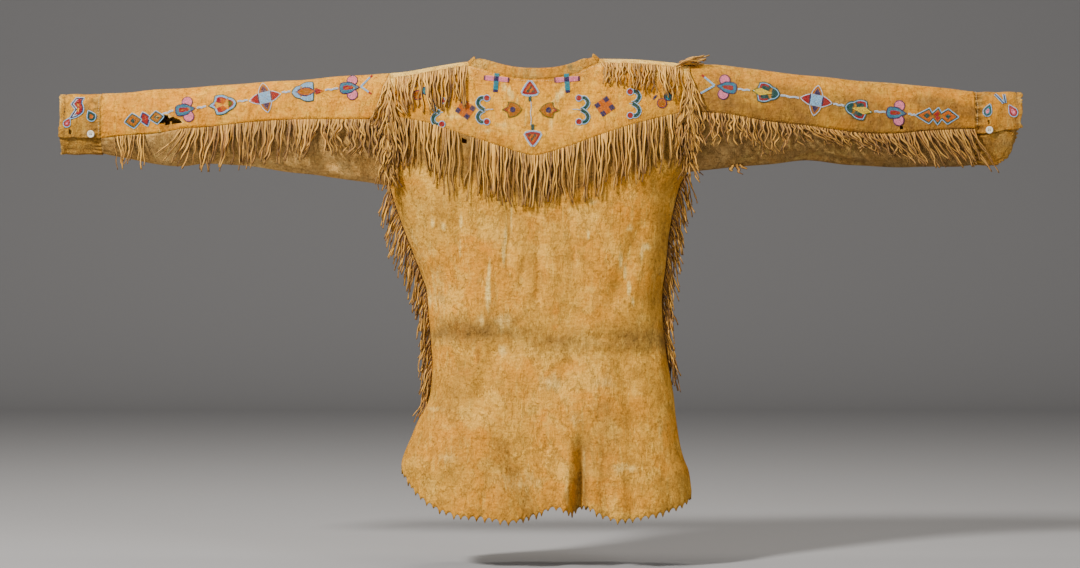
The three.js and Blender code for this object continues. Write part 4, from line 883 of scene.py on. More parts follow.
for side, cuff in (("left", LEFT_CUFF), ("right", RIGHT_CUFF)):
    outward = np.sign(cuff["end"])
    along_cuff = np.linspace(0, 1, 33)[:, None]
    middle_z, high = cuff_heights(cuff)
    front_edge = height_angle(lerp(*cuff["edge"], along_cuff), middle_z, high)
    front_edge = front_edge + 1.2 * np.sin(along_cuff * 17) * along_cuff
    angle = lerp(front_edge, front_edge - CUFF_WRAP, np.linspace(0, 1, 241))
    behind = smooth((-angle - 90) / 90) * (1 - 0.6 * smooth((-angle - 180) / 50))
    torn = np.sin(angle / 3.7 + 2 * np.sin(angle / 8)) ** 4 * np.sin(angle / 19) ** 2
    ragged = 1.5 * (1 + np.sin(angle / 9 + 2 * np.sin(angle / 23))) + cuff["torn"] * torn
    end = cuff["end"] - outward * (cuff["slant"] * behind + ragged)
    x = lerp(cuff["start"] + outward * SEAM / 2, end, along_cuff)
    in_front = angle > 5
    z = middle_z + high * np.cos(np.radians(angle))
    moved_x, moved_z, cells, lip = open_holes(x, np.where(in_front, z, z + OUT_OF_REACH),
                                              [BUTTONHOLES[side]])
    x = np.where(in_front, moved_x, x)
    angle = np.where(in_front & (moved_z != z), height_angle(moved_z, middle_z, high), angle)
    outer = cuff_points(cuff, x, angle)
    normals = grid_normals(outer, np.stack([x, 0 * x, 0 * x + middle_z], -1))
    from_seam, from_end = np.abs(x - cuff["start"]), np.abs(x - end)
    gather = np.exp(-(from_seam / 13) ** 2) * smooth(from_seam / 3)
    gather = gather * (1 + np.sin(angle * 0.52 + 1.7 * np.sin(angle * 0.05)))
    groove = np.exp(-((from_end - HEM_GROOVE) / 1.6) ** 2)
    waves = 0.5 * (1 + np.sin(x / 6 + angle / 14)) * smooth(from_seam / 8)
    tucked = smooth((-angle - 188) / 22) * (LAP_TUCK + 0.8 * np.sin(x / 5))
    outer -= normals * (tucked + cuff["gather"] * gather + 0.8 * groove + waves)[..., None]

    wave = 0.5 + 0.5 * np.sin(x / 11 + angle / 30)
    # Painted shade: the lap seen through the buttonhole is painted dark.
    hole_x, hole_z = BUTTONHOLES[side][:2]
    seen_in_hole = np.exp(-(np.hypot(x - hole_x, outer[..., 2] - hole_z) / 7) ** 4) * (angle < -180)
    stain_x, stain_z, stain_radius = CUFF_STAIN
    from_stain = np.hypot(x - stain_x, outer[..., 2] - stain_z) - stain_radius
    stain = np.exp(-(from_stain / 3.0) ** 2) * in_front
    # Darker towards the underside and behind, and dirtier at a torn end; painted shade in the hem's groove,
    # on the lap tucked behind the front edge and in the gathers.
    soil_and_shade = 0.3 * smooth((angle - 50) / 60) + 0.5 * smooth((-angle - 80) / 60) + 0.5 * groove
    soil_and_shade = soil_and_shade + 0.3 * smooth((-angle - 175) / 25) + 0.16 * cuff["gather"] * gather
    soil_and_shade = soil_and_shade + 0.05 * cuff["torn"] * smooth(1 - from_end / 14)
    marks = {"worn": 0.2 * wave + 0.3 * smooth((along_cuff - 0.9) / 0.1) + lip,
             "warm": 0.3 + 0.3 * wave,
             "grime": 0.42 + 0.25 * wave + 0.9 * stain + 3.0 * seen_in_hole + soil_and_shade}
    cuff_band = hide_panel(f"cuff_{side}_band", outer, normals, marks, keep=cells)
    finish(cuff_band, [f"cuff_{side}"], BRIGHT)

# ---------------------------------------------------------------- neck band
# A narrow strip sewn round the neck edge, its own edge rolled. It stands up and leans inwards.

COLLAR_HEIGHT = dict(front=19, side=14.5, back=17)
STRIP_HIGH, STRIP_MEAN = 20, 17     # greatest and mean height of the strip, laid flat
COLLAR_NICK = (57, -17)             # a nick in front: only a dark spot, painted shade
foot_out, foot_in, away = (np.concatenate([front_part, back_part[::-1]])
                           for front_part, back_part in zip(yoke_neck, back_neck))
edge = np.roll(foot_out, -1, 0) - np.roll(foot_out, 1, 0)
edge /= np.linalg.norm(edge, axis=1, keepdims=True)
thick = foot_out - foot_in
thick /= np.linalg.norm(thick, axis=1, keepdims=True)
off = np.cross(thick, edge)
off *= np.sign(np.sum(off * away, axis=1, keepdims=True))
for _ in range(6):
    off = (np.roll(off, 1, 0) + 2 * off + np.roll(off, -1, 0)) / 4
off /= np.linalg.norm(off, axis=1, keepdims=True)
height = np.where(foot_out[:, 2] > -SHOULDER_SEAM_DROP * 1.6, COLLAR_HEIGHT["side"],
                  np.where(foot_out[:, 1] < 0, COLLAR_HEIGHT["front"], COLLAR_HEIGHT["back"]))
for _ in range(8):
    height = (np.roll(height, 1) + 2 * height + np.roll(height, -1)) / 4
rise = 0.75 * off + 0.65 * np.array([0, 0, 1])
rise /= np.linalg.norm(rise, axis=1, keepdims=True)
wall = np.cross(rise, edge)
wall *= np.sign(np.sum(wall * thick, axis=1, keepdims=True))
profile_up = np.array([0, 0.25, 0.5, 0.75, 0.93, 1.0, 0.93, 0.75, 0.5, 0.25, 0])
profile_in = np.array([0, -0.05, -0.1, -0.05, 0.15, 0.5, 0.85, 1.05, 1.1, 1.05, 1.0])
foot = foot_out + off * SEAM
rings = (foot[:, None] + rise[:, None] * (height[:, None] * profile_up)[..., None]
         - wall[:, None] * (HIDE * profile_in)[:, None])
rings[:, -1] = foot_in + off * SEAM
count, sides = rings.shape[:2]
wave = 0.5 + 0.5 * np.sin(np.arange(count) / 7.0)
marks = {"worn": np.repeat(0.35 * wave, sides), "warm": np.full(count * sides, 0.3),
         "grime": np.repeat(0.45 + 0.3 * wave, sides), "inside": np.zeros(count * sides)}
# Painted shade: the nick is only a dark spot painted on the front of the band.
from_nick = np.hypot(rings[..., 0] - COLLAR_NICK[0], rings[..., 2] - COLLAR_NICK[1])
marks["grime"] += (2.5 * np.exp(-(from_nick / 3.5) ** 2) * (rings[..., 1] < 0)).ravel()
collar = new_mesh("neck_band", rings.reshape(-1, 3), grid_faces(count, sides, True, True), marks)
neck_round = np.linalg.norm(np.diff(foot, axis=0), axis=1).sum()
collar["flat"] = [neck_round * MM, STRIP_HIGH * MM, neck_round * STRIP_MEAN * MM * MM]
finish(collar, ["collar"], BRIGHT)

# ---------------------------------------------------------------- stitching
# Sinew thread in running stitch: pale round the neck and along the cuffs' seams, and dark with dirt
# in the loose hems at the cuffs' ends.

def tube_faces(count, rings, sides, capped=False):
    """Faces of many tubes, each of so many rings of points, and the ends of six-sided ones."""
    index = np.arange(count * rings * sides).reshape(count, rings, sides)
    near, far = index[:, :-1], index[:, 1:]
    walls = np.stack([near, np.roll(near, -1, 2), np.roll(far, -1, 2), far], -1).reshape(-1, 4)
    if not capped:
        return walls
    first, last = index[:, 0], index[:, -1]
    caps = [first[:, [3, 2, 1, 0]], first[:, [5, 4, 3, 0]], last[:, [0, 1, 2, 3]], last[:, [0, 3, 4, 5]]]
    return np.concatenate([walls, *caps])


def running_stitch(name, path, out, pitch, wide, material):
    """Short threads laid end to end on a path, each an arch that dives into the hide at both ends.

    A stitch covers the first 0.62 of its pitch; its middle stands wide * 0.5 above the hide.
    """
    run = np.r_[0, np.cumsum(np.linalg.norm(np.diff(path, axis=0), axis=1))]
    n = int(run[-1] / pitch)
    at = (np.arange(n)[:, None] + np.linspace(0.1, 0.72, 5)[None]) * pitch
    line = np.stack([np.interp(at, run, path[:, k]) for k in range(3)], -1)
    up = np.stack([np.interp(at, run, out[:, k]) for k in range(3)], -1)
    up /= np.linalg.norm(up, axis=-1, keepdims=True)
    line = line + up * (wide * np.array([-0.6, 0.25, 0.5, 0.25, -0.6]))[None, :, None]
    way = np.gradient(line, axis=1)
    way /= np.linalg.norm(way, axis=-1, keepdims=True)
    side = np.cross(way, up)
    spin = np.radians(np.arange(5) * 72)
    points = line[:, :, None] + wide / 2 * (np.cos(spin)[:, None] * side[:, :, None]
                                            + np.sin(spin)[:, None] * np.cross(side, way)[:, :, None])
    piece = new_mesh(name, points.reshape(-1, 3), tube_faces(n, 5, 5))
    finish(piece, [], material)


SINEW = Shader("sinew", Roughness=0.5, Base_Color=(0.62, 0.42, 0.19, 1)).material
DIRTY_THREAD = Shader("dirty_thread", Roughness=0.7, Base_Color=(0.07, 0.04, 0.02, 1)).material
x = np.linspace(FRONT_NECK[0][0] + 2, FRONT_NECK[-1][0] - 2, 400)
z = ridge(x) - along(FRONT_NECK, x) - 3.5
running_stitch("neck_stitches", body_points(-1, x, z), body_normals(-1, x, z), 4.2, 0.8, SINEW)
for side, cuff in (("left", LEFT_CUFF), ("right", RIGHT_CUFF)):
    outward = np.sign(cuff["end"])
    middle_z, high = cuff_heights(cuff)
    angle = np.linspace(height_angle(cuff["edge"][1], middle_z, high) - 5, -90, 300)
    for row, way_in, pitch, wide, thread in (("hem", cuff["end"] - outward * 11, 5.5, 1.1, DIRTY_THREAD),
                                             ("seam", cuff["start"] + outward * 4, 4.6, 0.9, SINEW)):
        path = cuff_points(cuff, way_in + 0.8 * np.sin(angle / 7), angle)
        out = (path - np.array([0, 0, middle_z])) * np.array([0, 1, 1])
        out /= np.linalg.norm(out, axis=1, keepdims=True)
        running_stitch(f"{side}_cuff_{row}_stitches", path - out * 0.9, out, pitch, wide, thread)

# ---------------------------------------------------------------- beadwork
# Glass seed beads strung on sinew thread and laid down in rows that follow each motif's outline
# inwards. A row is tacked to the hide every few beads. All are old, lightly dulled opaque beads.

BEAD_WIDE, BEAD_LONG = 1.8, 1.4
BEAD_CLEAR = 0.78       # beads keep this share of their length apart
BEAD_COLOURS = dict(
    navy=(0.020, 0.022, 0.10), plum=(0.075, 0.018, 0.075), red=(0.34, 0.012, 0.020),
    rose=(0.50, 0.07, 0.08), pink=(0.76, 0.22, 0.34), pale=(0.25, 0.46, 0.66), white=(0.45, 0.54, 0.62),
    blue=(0.035, 0.19, 0.29), teal=(0.012, 0.22, 0.28), green=(0.005, 0.070, 0.064),
    olive=(0.095, 0.11, 0.012), orange=(0.56, 0.125, 0.004), amber=(0.40, 0.13, 0.004),
    yellow=(0.70, 0.48, 0.03))


def row_aside(rows):
    """How far to the side a number of rows reach, laid a little closer than the beads are wide."""
    return rows * BEAD_WIDE * 0.96


def outline(*corners):
    """A closed outline from (u, v, bulge): each edge to the next corner swells by bulge x its length.

    Its points are lerp(a, b, t) + n * bulge * |b - a| * 4 t (1 - t), with n to the left of the way.
    """
    a = np.array(corners, float)
    b = np.roll(a, -1, 0)
    t = np.linspace(0, 1, 60, endpoint=False)[None, :, None]
    way = (b - a)[:, None, :2]
    left = np.stack([-way[..., 1], way[..., 0]], -1)
    return (a[:, None, :2] + way * t + left * a[:, None, 2:] * 4 * t * (1 - t)).reshape(-1, 2)


def disc(u, v, radius):
    """A round outline."""
    turn = np.linspace(0, 2 * np.pi, 120, endpoint=False)
    return np.stack([u + radius * np.cos(turn), v - radius * np.sin(turn)], -1)


class Motif:
    """Beads in a motif's own plane: place, direction and colour, the first laid having the right of way."""

    def __init__(self):
        self.beads = np.zeros((0, 6))

    def lay(self, points, heading, colour):
        """Lays beads that keep clear of those already there."""
        if isinstance(colour, str):
            colour = np.full(len(points), colour)
        tint = np.array([BEAD_COLOURS[str(c)] for c in colour]).reshape(-1, 3)
        row = np.c_[points, heading, tint]
        if len(self.beads):
            gap = np.linalg.norm(row[:, None, :2] - self.beads[None, :, :2], axis=-1).min(1)
            row = row[gap > BEAD_CLEAR * BEAD_LONG]
        self.beads = np.r_[self.beads, row]
        return self

    def thread(self, path, colour, aside=0.0, closed=False):
        """One row of evenly spaced beads along a path, `aside` to its right."""
        path = np.asarray(path, float)
        way = np.roll(path, -1, 0) - np.roll(path, 1, 0) if closed else np.gradient(path, axis=0)
        way /= np.linalg.norm(way, axis=1, keepdims=True) + 1e-9
        moved = path + aside * np.stack([way[:, 1], -way[:, 0]], -1)
        kept = np.ones(len(path), bool)
        if closed and aside:
            near = np.linalg.norm(moved[:, None] - path[None], axis=-1).min(1)
            kept = near > abs(aside) - 0.12
        steps = np.linalg.norm(np.roll(moved, -1, 0) - moved, axis=1) * kept * np.roll(kept, -1)
        steps[-1] *= closed
        steps[steps > BEAD_LONG] = 0
        run = np.r_[0, np.cumsum(steps)][:-1]
        total = steps.sum()
        if total < BEAD_LONG:
            return self
        count = max(1, int(round(total / BEAD_LONG)))
        pick = np.searchsorted(run, (np.arange(count) + 0.5) * total / count).clip(0, len(run) - 1)
        heading = np.arctan2(way[pick, 1], way[pick, 0])
        if callable(colour):
            colour = colour(moved[pick, 0], moved[pick, 1])
        return self.lay(moved[pick], heading, colour)

    def edge(self, shape, colour="pale", aside=-0.9):
        """One row round the outside of an outline."""
        return self.thread(shape, colour, aside, closed=True)

    def fill(self, shape, rows):
        """Rows inside an outline, each a bead further in; the last colour fills what is left."""
        shape = np.asarray(shape)
        area = np.sum(shape[:, 0] * np.roll(shape[:, 1], -1) - np.roll(shape[:, 0], -1) * shape[:, 1])
        path = shape if area < 0 else shape[::-1]
        for k in range(14):
            self.thread(path, rows[min(k, len(rows) - 1)], row_aside(k + 0.5), closed=True)
        return self


def by_place(*limits, axis=0):
    """A colour that changes along an axis: (limit, colour) pairs."""
    def colour(u, v):
        value = (u, v)[axis]
        names = np.full(len(value), limits[-1][1], dtype="<U8")
        for limit, name in limits[-2::-1]:
            names[value < limit] = name
        return names
    return colour


def trefoil():
    """A drop-shaped body with its tip to +u, between two round pink petals."""
    motif = Motif()
    body = outline((19, 0, 0.02), (9, -5.5, 0.12), (-7, -10.5, 0.30), (-18, 0, 0.30), (-7, 10.5, 0.12),
                   (9, 5.5, 0.02))
    core = outline((7, 0, 0.1), (-6, -4, 0.25), (-12, 0, 0.25), (-6, 4, 0.1))
    motif.fill(core, ["red", "red"])
    motif.fill(body, ["navy", "blue", "blue", "blue"])
    for side in (-1, 1):
        motif.fill(disc(4.5, side * 12.6, 10.0), ["plum", "pink", "pink", "pink"])
    return motif


def tulip(kind):
    """A cup with its round end to -u and three points to +u; the middle point stands beyond."""
    motif = Motif()
    cup = outline((26, 0, 0.0), (15, -6.5, 0.0), (12, -17, 0.14), (-12, -12.5, 0.16), (-26, 0, 0.16),
                  (-12, 12.5, 0.14), (12, 17, 0.0), (15, 6.5, 0.0))
    if kind == "flame":
        core = by_place((-8, "olive"), (2, "orange"), (99, "red"))
        return motif.fill(cup, ["green", "pale", "pale", "red", core, core])
    if kind == "seed":
        seed = outline((16, 0, 0.06), (2, -8, 0.12), (-19, 0, 0.12), (2, 8, 0.06))
        tip = outline((31, 0, 0.0), (15, -6, 0.1), (15, 6, 0.0))
        motif.fill(seed, ["navy", "orange", "amber"])
        motif.fill(tip, [by_place((24, "red"), (99, "orange"))])
        blunt = outline((13, 0, 0), (12, -17, 0.14), (-12, -12.5, 0.16), (-27, 0, 0.16),
                        (-12, 12.5, 0.14), (12, 17, 0))
        return motif.fill(blunt, ["green", "pale", "pale", "pale"])
    heart = outline((25, 0, 0), (14, -6, 0), (8, -6.5, 0), (-14, 0, 0), (8, 6.5, 0), (14, 6, 0))
    motif.fill(heart, [by_place((13, "yellow"), (99, "olive")), "yellow", "yellow"])
    band = by_place((-5, "green"), (99, "red"))
    return motif.fill(cup, ["green", "pale", band, band, "green"])


def star():
    """Four points round a pale square: red ones along u, amber ones with navy hearts along v."""
    motif = Motif()
    points = outline((29, 0, 0.06), (10.5, -10.5, 0.08), (0, -28, 0.08), (-10.5, -10.5, 0.06), (-29, 0, 0.06),
                     (-10.5, 10.5, 0.08), (0, 28, 0.08), (10.5, 10.5, 0.06))
    square = outline((10, -10, 0), (-10, -10, 0), (-10, 10, 0), (10, 10, 0))
    motif.fill(square, ["pale"])
    for side in (-1, 1):
        heart = outline((6.5, side * 10.5, 0), (0, side * 22, 0), (-6.5, side * 10.5, 0))
        motif.fill(heart, ["navy"])
        motif.thread([(side * 11.2, v) for v in np.linspace(-9, 9, 40)], "navy")

    def limb(u, v):
        return np.where(np.abs(u) > np.abs(v), "red", "amber")
    return motif.fill(points, ["white", limb, limb, limb])


def double_diamond():
    """Two amber diamonds with green hearts, joined by a red leaf; all edged green and pale."""
    motif = Motif()
    corners = ((1, 0), (0, -1), (-1, 0), (0, 1))
    for centre, size in ((-21, 1.0), (20, 0.86)):
        heart = outline(*[(centre + 5.5 * size * a, 5.0 * size * b, 0) for a, b in corners])
        motif.fill(heart, ["green"])
        rim = outline(*[(centre + 14.5 * size * a, 12.5 * size * b, 0.03) for a, b in corners])
        motif.fill(rim, ["green", "amber", "amber", "orange"]).edge(rim)
    leaf = outline((8.5, 2, 0.04), (3, -12, 0.06), (-8.5, -1, 0.04), (-3, 12, 0.06))
    return motif.fill(leaf, ["navy", "red"]).edge(leaf)


def zigzag_diamond():
    """A long diamond with stepped edges, amber and red, edged green and pale."""
    motif = Motif()
    for centre in (-18, 19):
        heart = outline((centre + 5.5, 0, 0), (centre, -5, 0), (centre - 5.5, 0, 0), (centre, 5, 0))
        motif.fill(heart, ["green"])
    rim = outline((37, 0, 0), (18, -12.5, 0), (8, -4, 0), (1, -14, 0), (-7, -4.5, 0), (-14, -13, 0),
                  (-37, 0, 0), (-14, 12.5, 0), (-9, 4, 0), (2, 14, 0), (7, 5, 0), (19, 12.5, 0))
    middle = by_place((-8, "orange"), (9, "red"), (99, "orange"))
    return motif.fill(rim, ["green", "orange", middle]).edge(rim)


def drop(rows, long, wide):
    """A teardrop with its tip to +u, edged pale."""
    shape = outline((long * 0.55, 0, 0.03), (0, -wide * 0.44, 0.2), (-long * 0.42, 0, 0.2),
                    (0, wide * 0.44, 0.03))
    return Motif().fill(shape, rows).edge(shape)


def band(path, colours):
    """Side-by-side rows along a path."""
    motif = Motif()
    middle = (len(colours) - 1) / 2
    for k, colour in sorted(enumerate(colours), key=lambda row: abs(row[0] - middle)):
        motif.thread(path, colour, row_aside(k - middle))
    return motif


def line(*corners):
    """A smooth path through a few corners."""
    corners = np.array(corners, float)
    key = np.arange(len(corners))
    t = np.linspace(0, len(corners) - 1, 60 * len(corners))
    return np.stack([along(np.c_[key, corners[:, 0]], t), along(np.c_[key, corners[:, 1]], t)], -1)


def scroll():
    """A scroll like a figure 3, green edged pale, with a red disc at both ends."""
    motif = Motif()
    for end in (-1, 1):
        ball = disc(-7, end * 20.5, 4.6)
        motif.fill(ball, ["red"]).edge(ball)
    for end in (-1, 1):
        arc = line((-5, 20.5 * end), (3.5, 20.5 * end), (8.5, 13 * end), (5.5, 5.5 * end), (-2.5, 0))
        for k, colour in ((0, "green"), (1, "green"), (-1, "green"), (2, "pale"), (-2, "pale")):
            motif.thread(arc, colour, k * BEAD_WIDE * 0.94)
    return motif.thread(line((-3, 0), (-9, 0)), "pale")


def bud():
    """A plump bud with its tip to +u: amber with a navy heart and a red tip, edged olive."""
    motif = Motif().fill(disc(-1.5, 0, 5.0), ["navy"])
    shape = outline((19, 0, 0.0), (9, -4.5, -0.1), (7, -14, 0.16), (-18, 0, 0.16), (7, 14, -0.1),
                    (9, 4.5, 0.0))
    fill = by_place((6, "amber"), (99, "red"))
    return motif.fill(shape, ["olive", fill, "amber"])


def crossbar():
    """A pink bar with plum ends over a teal upright with navy squares."""
    motif = Motif()
    for row in range(5):
        v = row_aside(row - 2)
        upright = by_place((-13.5, "navy"), (1.5, "teal"), (9, "navy"), (99, "teal"), axis=1)
        motif.thread(line((v, 15), (v, -18)), upright)
    for row in range(5):
        v = 5 + row_aside(row - 2)
        ends = by_place((-19, "plum"), (19, "pink"), (99, "plum"))
        motif.thread(line((-22, v), (22, v)), ends)
    return motif


def rounded_triangle():
    """A triangle with its point to +v: striped green and orange, edged red and then pale."""
    motif = Motif()
    shape = outline((0, 13, 0.04), (13.5, -8, 0.10), (-13.5, -8, 0.04))

    def stripes(u, v):
        return np.where(np.mod(u * 0.7 - v * 0.5 + 1.5, 6.6) < 3.0, "green", "orange")
    return motif.fill(shape, ["red", "red", stripes]).edge(shape).edge(shape, "white", -2.6)


def checkered():
    """A square of straight rows, orange with four navy corner squares."""
    motif = Motif()
    for row in range(15):
        v = row_aside(row - 7)
        ends = by_place((-4.6, "navy"), (4.6, "orange"), (99, "navy")) if abs(row - 7) > 2 else "orange"
        motif.thread(line((-13.5, v), (13.5, v)), ends)
    return motif


def blossom():
    """An orange disc edged plum, with a teal and a blue petal beside it."""
    motif = Motif().fill(disc(0, -4, 9.0), ["plum", "orange", "amber"])
    motif.fill(outline((17, -2, 0.25), (4, 8, 0.05), (12, 14, 0.3)), ["navy", "teal", "teal"])
    return motif.fill(outline((-15, 3, 0.2), (-4, 12, 0.05)), ["navy", "blue", "blue"])


def bead_mesh(name, laid, depth, seed):
    """All beads of some motifs as one mesh of short barrels, standing on a front given by its depth.

    `laid` holds (motif, x, z, turn). A barrel is 3 rings of 6 points round the thread's direction.
    """
    rng = np.random.default_rng(seed)
    beads = []
    for motif, x, z, turn in laid:
        c, s = np.cos(np.radians(turn)), np.sin(np.radians(turn))
        u, v = motif.beads[:, 0], motif.beads[:, 1]
        placed = motif.beads.copy()
        placed[:, 0] = x + c * u - s * v
        placed[:, 1] = z + s * u + c * v
        placed[:, 2] += np.radians(turn)
        beads.append(placed)
    beads = np.concatenate(beads)
    n = len(beads)
    x = beads[:, 0] + rng.normal(0, 0.09, n)
    z = beads[:, 1] + rng.normal(0, 0.09, n)
    step = 0.5
    slope_x = (depth(x + step, z) - depth(x - step, z)) / (2 * step)
    slope_z = (depth(x, z + step) - depth(x, z - step)) / (2 * step)
    normal = np.stack([-slope_x, -np.ones(n), -slope_z], -1)
    normal /= np.linalg.norm(normal, axis=1, keepdims=True)
    heading = beads[:, 2] + rng.normal(0, 0.05, n)
    c, s = np.cos(heading), np.sin(heading)
    way = np.stack([c, -(slope_x * c + slope_z * s), s], -1)
    way /= np.linalg.norm(way, axis=1, keepdims=True)
    side = np.cross(normal, way)
    size = rng.normal(1, 0.05, n)
    middle = np.stack([x, -depth(x, z), z], -1) + normal * (0.36 * BEAD_WIDE)
    rings = np.array([(-0.47, 0.66), (0, 1.0), (0.47, 0.66)])
    spin = np.radians(np.arange(6) * 60 + 30)
    flat = (np.cos(spin)[None, :, None] * side[:, None] + np.sin(spin)[None, :, None] * normal[:, None])
    points = (middle[:, None, None] + way[:, None, None] * (rings[:, 0] * BEAD_LONG)[None, :, None, None]
              + flat[:, None] * (size[:, None] * rings[:, 1] * BEAD_WIDE / 2)[:, :, None, None])
    tint = beads[:, 3:] * rng.uniform(0.82, 1.15, (n, 1))
    tint = np.repeat(np.c_[np.clip(tint, 0, 1), np.ones(n)], 18, axis=0)
    piece = new_mesh(name, points.reshape(-1, 3), tube_faces(n, 3, 6, True), {"bead_colour": tint})
    finish(piece, [], BEADS)


def bead_material(name):
    """Opaque glass in each bead's own colour, with a little dust."""
    s = Shader(name, Roughness=0.3, Coat_Weight=0.08, Specular_IOR_Level=0.35)
    colour = s.node("ShaderNodeAttribute", {"attribute_name": "bead_colour"}, out="Color")
    dust = s.ease(s.noise(90, 3, 0.6), 0.45, 0.8)
    s.feed(Base_Color=s.mix(dust * 0.15, colour, (0.26, 0.17, 0.08, 1)), Roughness=0.26 + dust * 0.3)
    return s.material


BEADS = bead_material("seed_beads")


def yoke_depth(x, z):
    """How far in front of the middle plane the yoke's surface lies."""
    return body_depth(-1, x, z, True)


def sleeve_depth(sleeve):
    """The same for a sleeve."""
    def depth(x, z):
        angle = height_angle(z, *sleeve_heights(sleeve, x), 0.985)
        return -sleeve_points(sleeve, x, angle)[..., 1]
    return depth


def cuff_depth(cuff):
    """The same for a cuff."""
    def depth(x, z):
        return -cuff_points(cuff, x, height_angle(z, *cuff_heights(cuff), 0.99))[..., 1]
    return depth


def between(motif, x0, z0, x1, z1):
    """A motif placed half way from one point to another, and turned along that way."""
    return motif, (x0 + x1) / 2, (z0 + z1) / 2, np.degrees(np.arctan2(z1 - z0, x1 - x0))


def link(*ends):
    """A slack double row of white beads between two motifs, from x0, z0 to x1, z1."""
    run = np.hypot(ends[2] - ends[0], ends[3] - ends[1])
    path = line((-run / 2, 0), (-run / 4, 0.8), (0, -0.6), (run / 4, 0.7), (run / 2, 0))
    return between(band(path, ["white", "white"]), *ends)


def feeler(*ends):
    """A pale double row with a red end."""
    run = np.hypot(ends[2] - ends[0], ends[3] - ends[1])
    colour = by_place((run / 2 - 6, "pale"), (99, "red"))
    return between(band(line((-run / 2, 0), (run / 2, 0)), [colour, colour]), *ends)


bead_mesh("left_sleeve_beads", [
    (double_diamond(), -677, -105.5, 8), (trefoil(), -607, -89.4, 8), (tulip("flame"), -543.5, -80.8, 186.6),
    (star(), -469.6, -68.8, 13), (tulip("seed"), -397.5, -58.5, 3), (trefoil(), -323.4, -51.6, 3),
    link(-648, -98, -628, -91), link(-587, -87, -571, -84), link(-517, -76, -499, -73.5),
    link(-441, -60, -426, -58.5), link(-366, -56, -343, -53),
    feeler(-304, -50, -285.5, -29), feeler(-304, -50, -285.5, -63)], sleeve_depth(LEFT_SLEEVE), 21)
bead_mesh("right_sleeve_beads", [
    (trefoil(), 326.8, -51.6, 172), (tulip("heart"), 393.9, -60.2, 172), (star(), 481.6, -74, -10),
    (tulip("heart"), 555.6, -89.4, -12), (trefoil(), 620.9, -95, -4), (zigzag_diamond(), 691.4, -100.5, -2),
    link(346, -55, 367, -57), link(420, -65.5, 452, -70), link(511, -80, 530, -83), link(582, -93, 602, -94),
    link(641, -97, 654, -99), feeler(306, -48.5, 284.7, -30), feeler(306, -48.5, 277, -65)],
    sleeve_depth(RIGHT_SLEEVE), 22)

mirror = 180
stem = band(line((0, 5.5), (0, -5.5)), ["green", "green", "green"])
chain = band(line((0, 21), (0.8, 10), (-0.6, 0), (0.7, -10), (0, -21)), ["white"])
tack = band(line((-5, 0), (5, 0)), ["white"])
bead_mesh("yoke_beads", [
    (crossbar(), -70, -43, -5), (crossbar(), 51.6, -44, 4), (rounded_triangle(), -12, -55, 0),
    (stem, -12, -72, 0), (chain, -10.5, -97.5, 0), (stem, -7.5, -122, 0),
    (rounded_triangle(), -7, -141, mirror), (bud(), -43, -91.5, mirror),
    (bud(), 21.5, -92.5, 0), (scroll(), 79, -92, 0), (scroll(), -93, -92, mirror),
    (checkered(), 116, -86, 35), (checkered(), -122.8, -91, -35)], yoke_depth, 23)
bead_mesh("yoke_side_beads", [
    (scroll(), 167, -81, 0), (scroll(), -170, -96, mirror), (blossom(), 214, -76, 10),
    (blossom(), -204, -62, -10), (tack, 66, -91, 0), (tack, -80, -91, 0)], yoke_depth, 24)

scallop = outline((10, 16, -0.1), (7, 6, 0.1), (9.5, -8, 0.1), (-12.7, -19.5, 0), (-3, -4, 0), (-10.7, 5, 0),
                  (-3.4, 16, 0))
scallop = Motif().fill(scallop, ["navy", by_place((0, "white"), (99, "red")), "red"]).edge(scallop)
bead_mesh("left_cuff_beads", [
    (scallop, -795, -84.5, 0), (drop(["red", "rose", "pink"], 16, 12), -812.5, -112, 60),
    (drop(["green", "green", "orange"], 19, 16), -771, -100.5, 118)], cuff_depth(LEFT_CUFF), 25)
chevron = Motif()
for aside, colour in ((0, "navy"), (1, "pale"), (-1, "pale")):
    chevron.thread(line((-9, 14), (4.5, -2)), colour, aside * BEAD_WIDE)
    chevron.thread(line((6.5, 14), (7.5, -2)), colour, aside * BEAD_WIDE)
bead_mesh("right_cuff_beads", [
    (chevron, 803, -75.5, 0), (drop(["green", "teal", "pink"], 22, 15), 779.5, -91, 68),
    (drop(["red", "rose", "pink"], 22, 15), 823, -92, 120)], cuff_depth(RIGHT_CUFF), 26)

# ---------------------------------------------------------------- fringes
# Strips of thin hide cut into strands about 5 mm wide, each caught in a seam by its uncut edge. The
# strands have dried curled and tangled. A narrow welt covers their roots in each side seam.

STRAND_RINGS = 16
STRAND_SECTION = np.array([(-1, 0), (-0.36, -0.95), (0.36, -0.95), (1, 0), (0.36, 0.95), (-0.36, 0.95)])

def fringe_material(name):
    """Thin hide, golden on its faces and dark along its cut edges, partly their own tone and partly painted
    shade; dirtier from strand to strand.
    """
    s = Shader(name, Roughness=0.55, Sheen_Weight=0.02, Specular_IOR_Level=0.28)
    fine = s.noise(260, 4, 0.65)
    broad = s.noise(34, 4, 0.6)
    colour = s.mix(s.mark("tone"), (0.13, 0.055, 0.012, 1), (0.90, 0.46, 0.060, 1))
    colour = s.mix(s.ease(broad, 0.45, 0.7) * 0.45, colour, (0.58, 0.235, 0.035, 1))
    colour = s.mix(s.ease(fine, 0.48, 0.75) * 0.45, colour, (0.95, 0.54, 0.10, 1))
    colour = s.mix(0.45 * s.mark("tip"), colour, (0.20, 0.10, 0.03, 1))
    # The edge mark darkens each strand's sides: partly the cut edges' own tone, partly painted shade where
    # the strand turns away.
    colour = s.mix(s.mark("edge") * (1.5 - s.mark("edge") * 0.5), colour, (0.045, 0.018, 0.006, 1))
    s.feed(Base_Color=colour, Normal=s.bump(fine, 0.0009, 0.8))
    return s.material


FRINGE = fringe_material("fringe_hide")


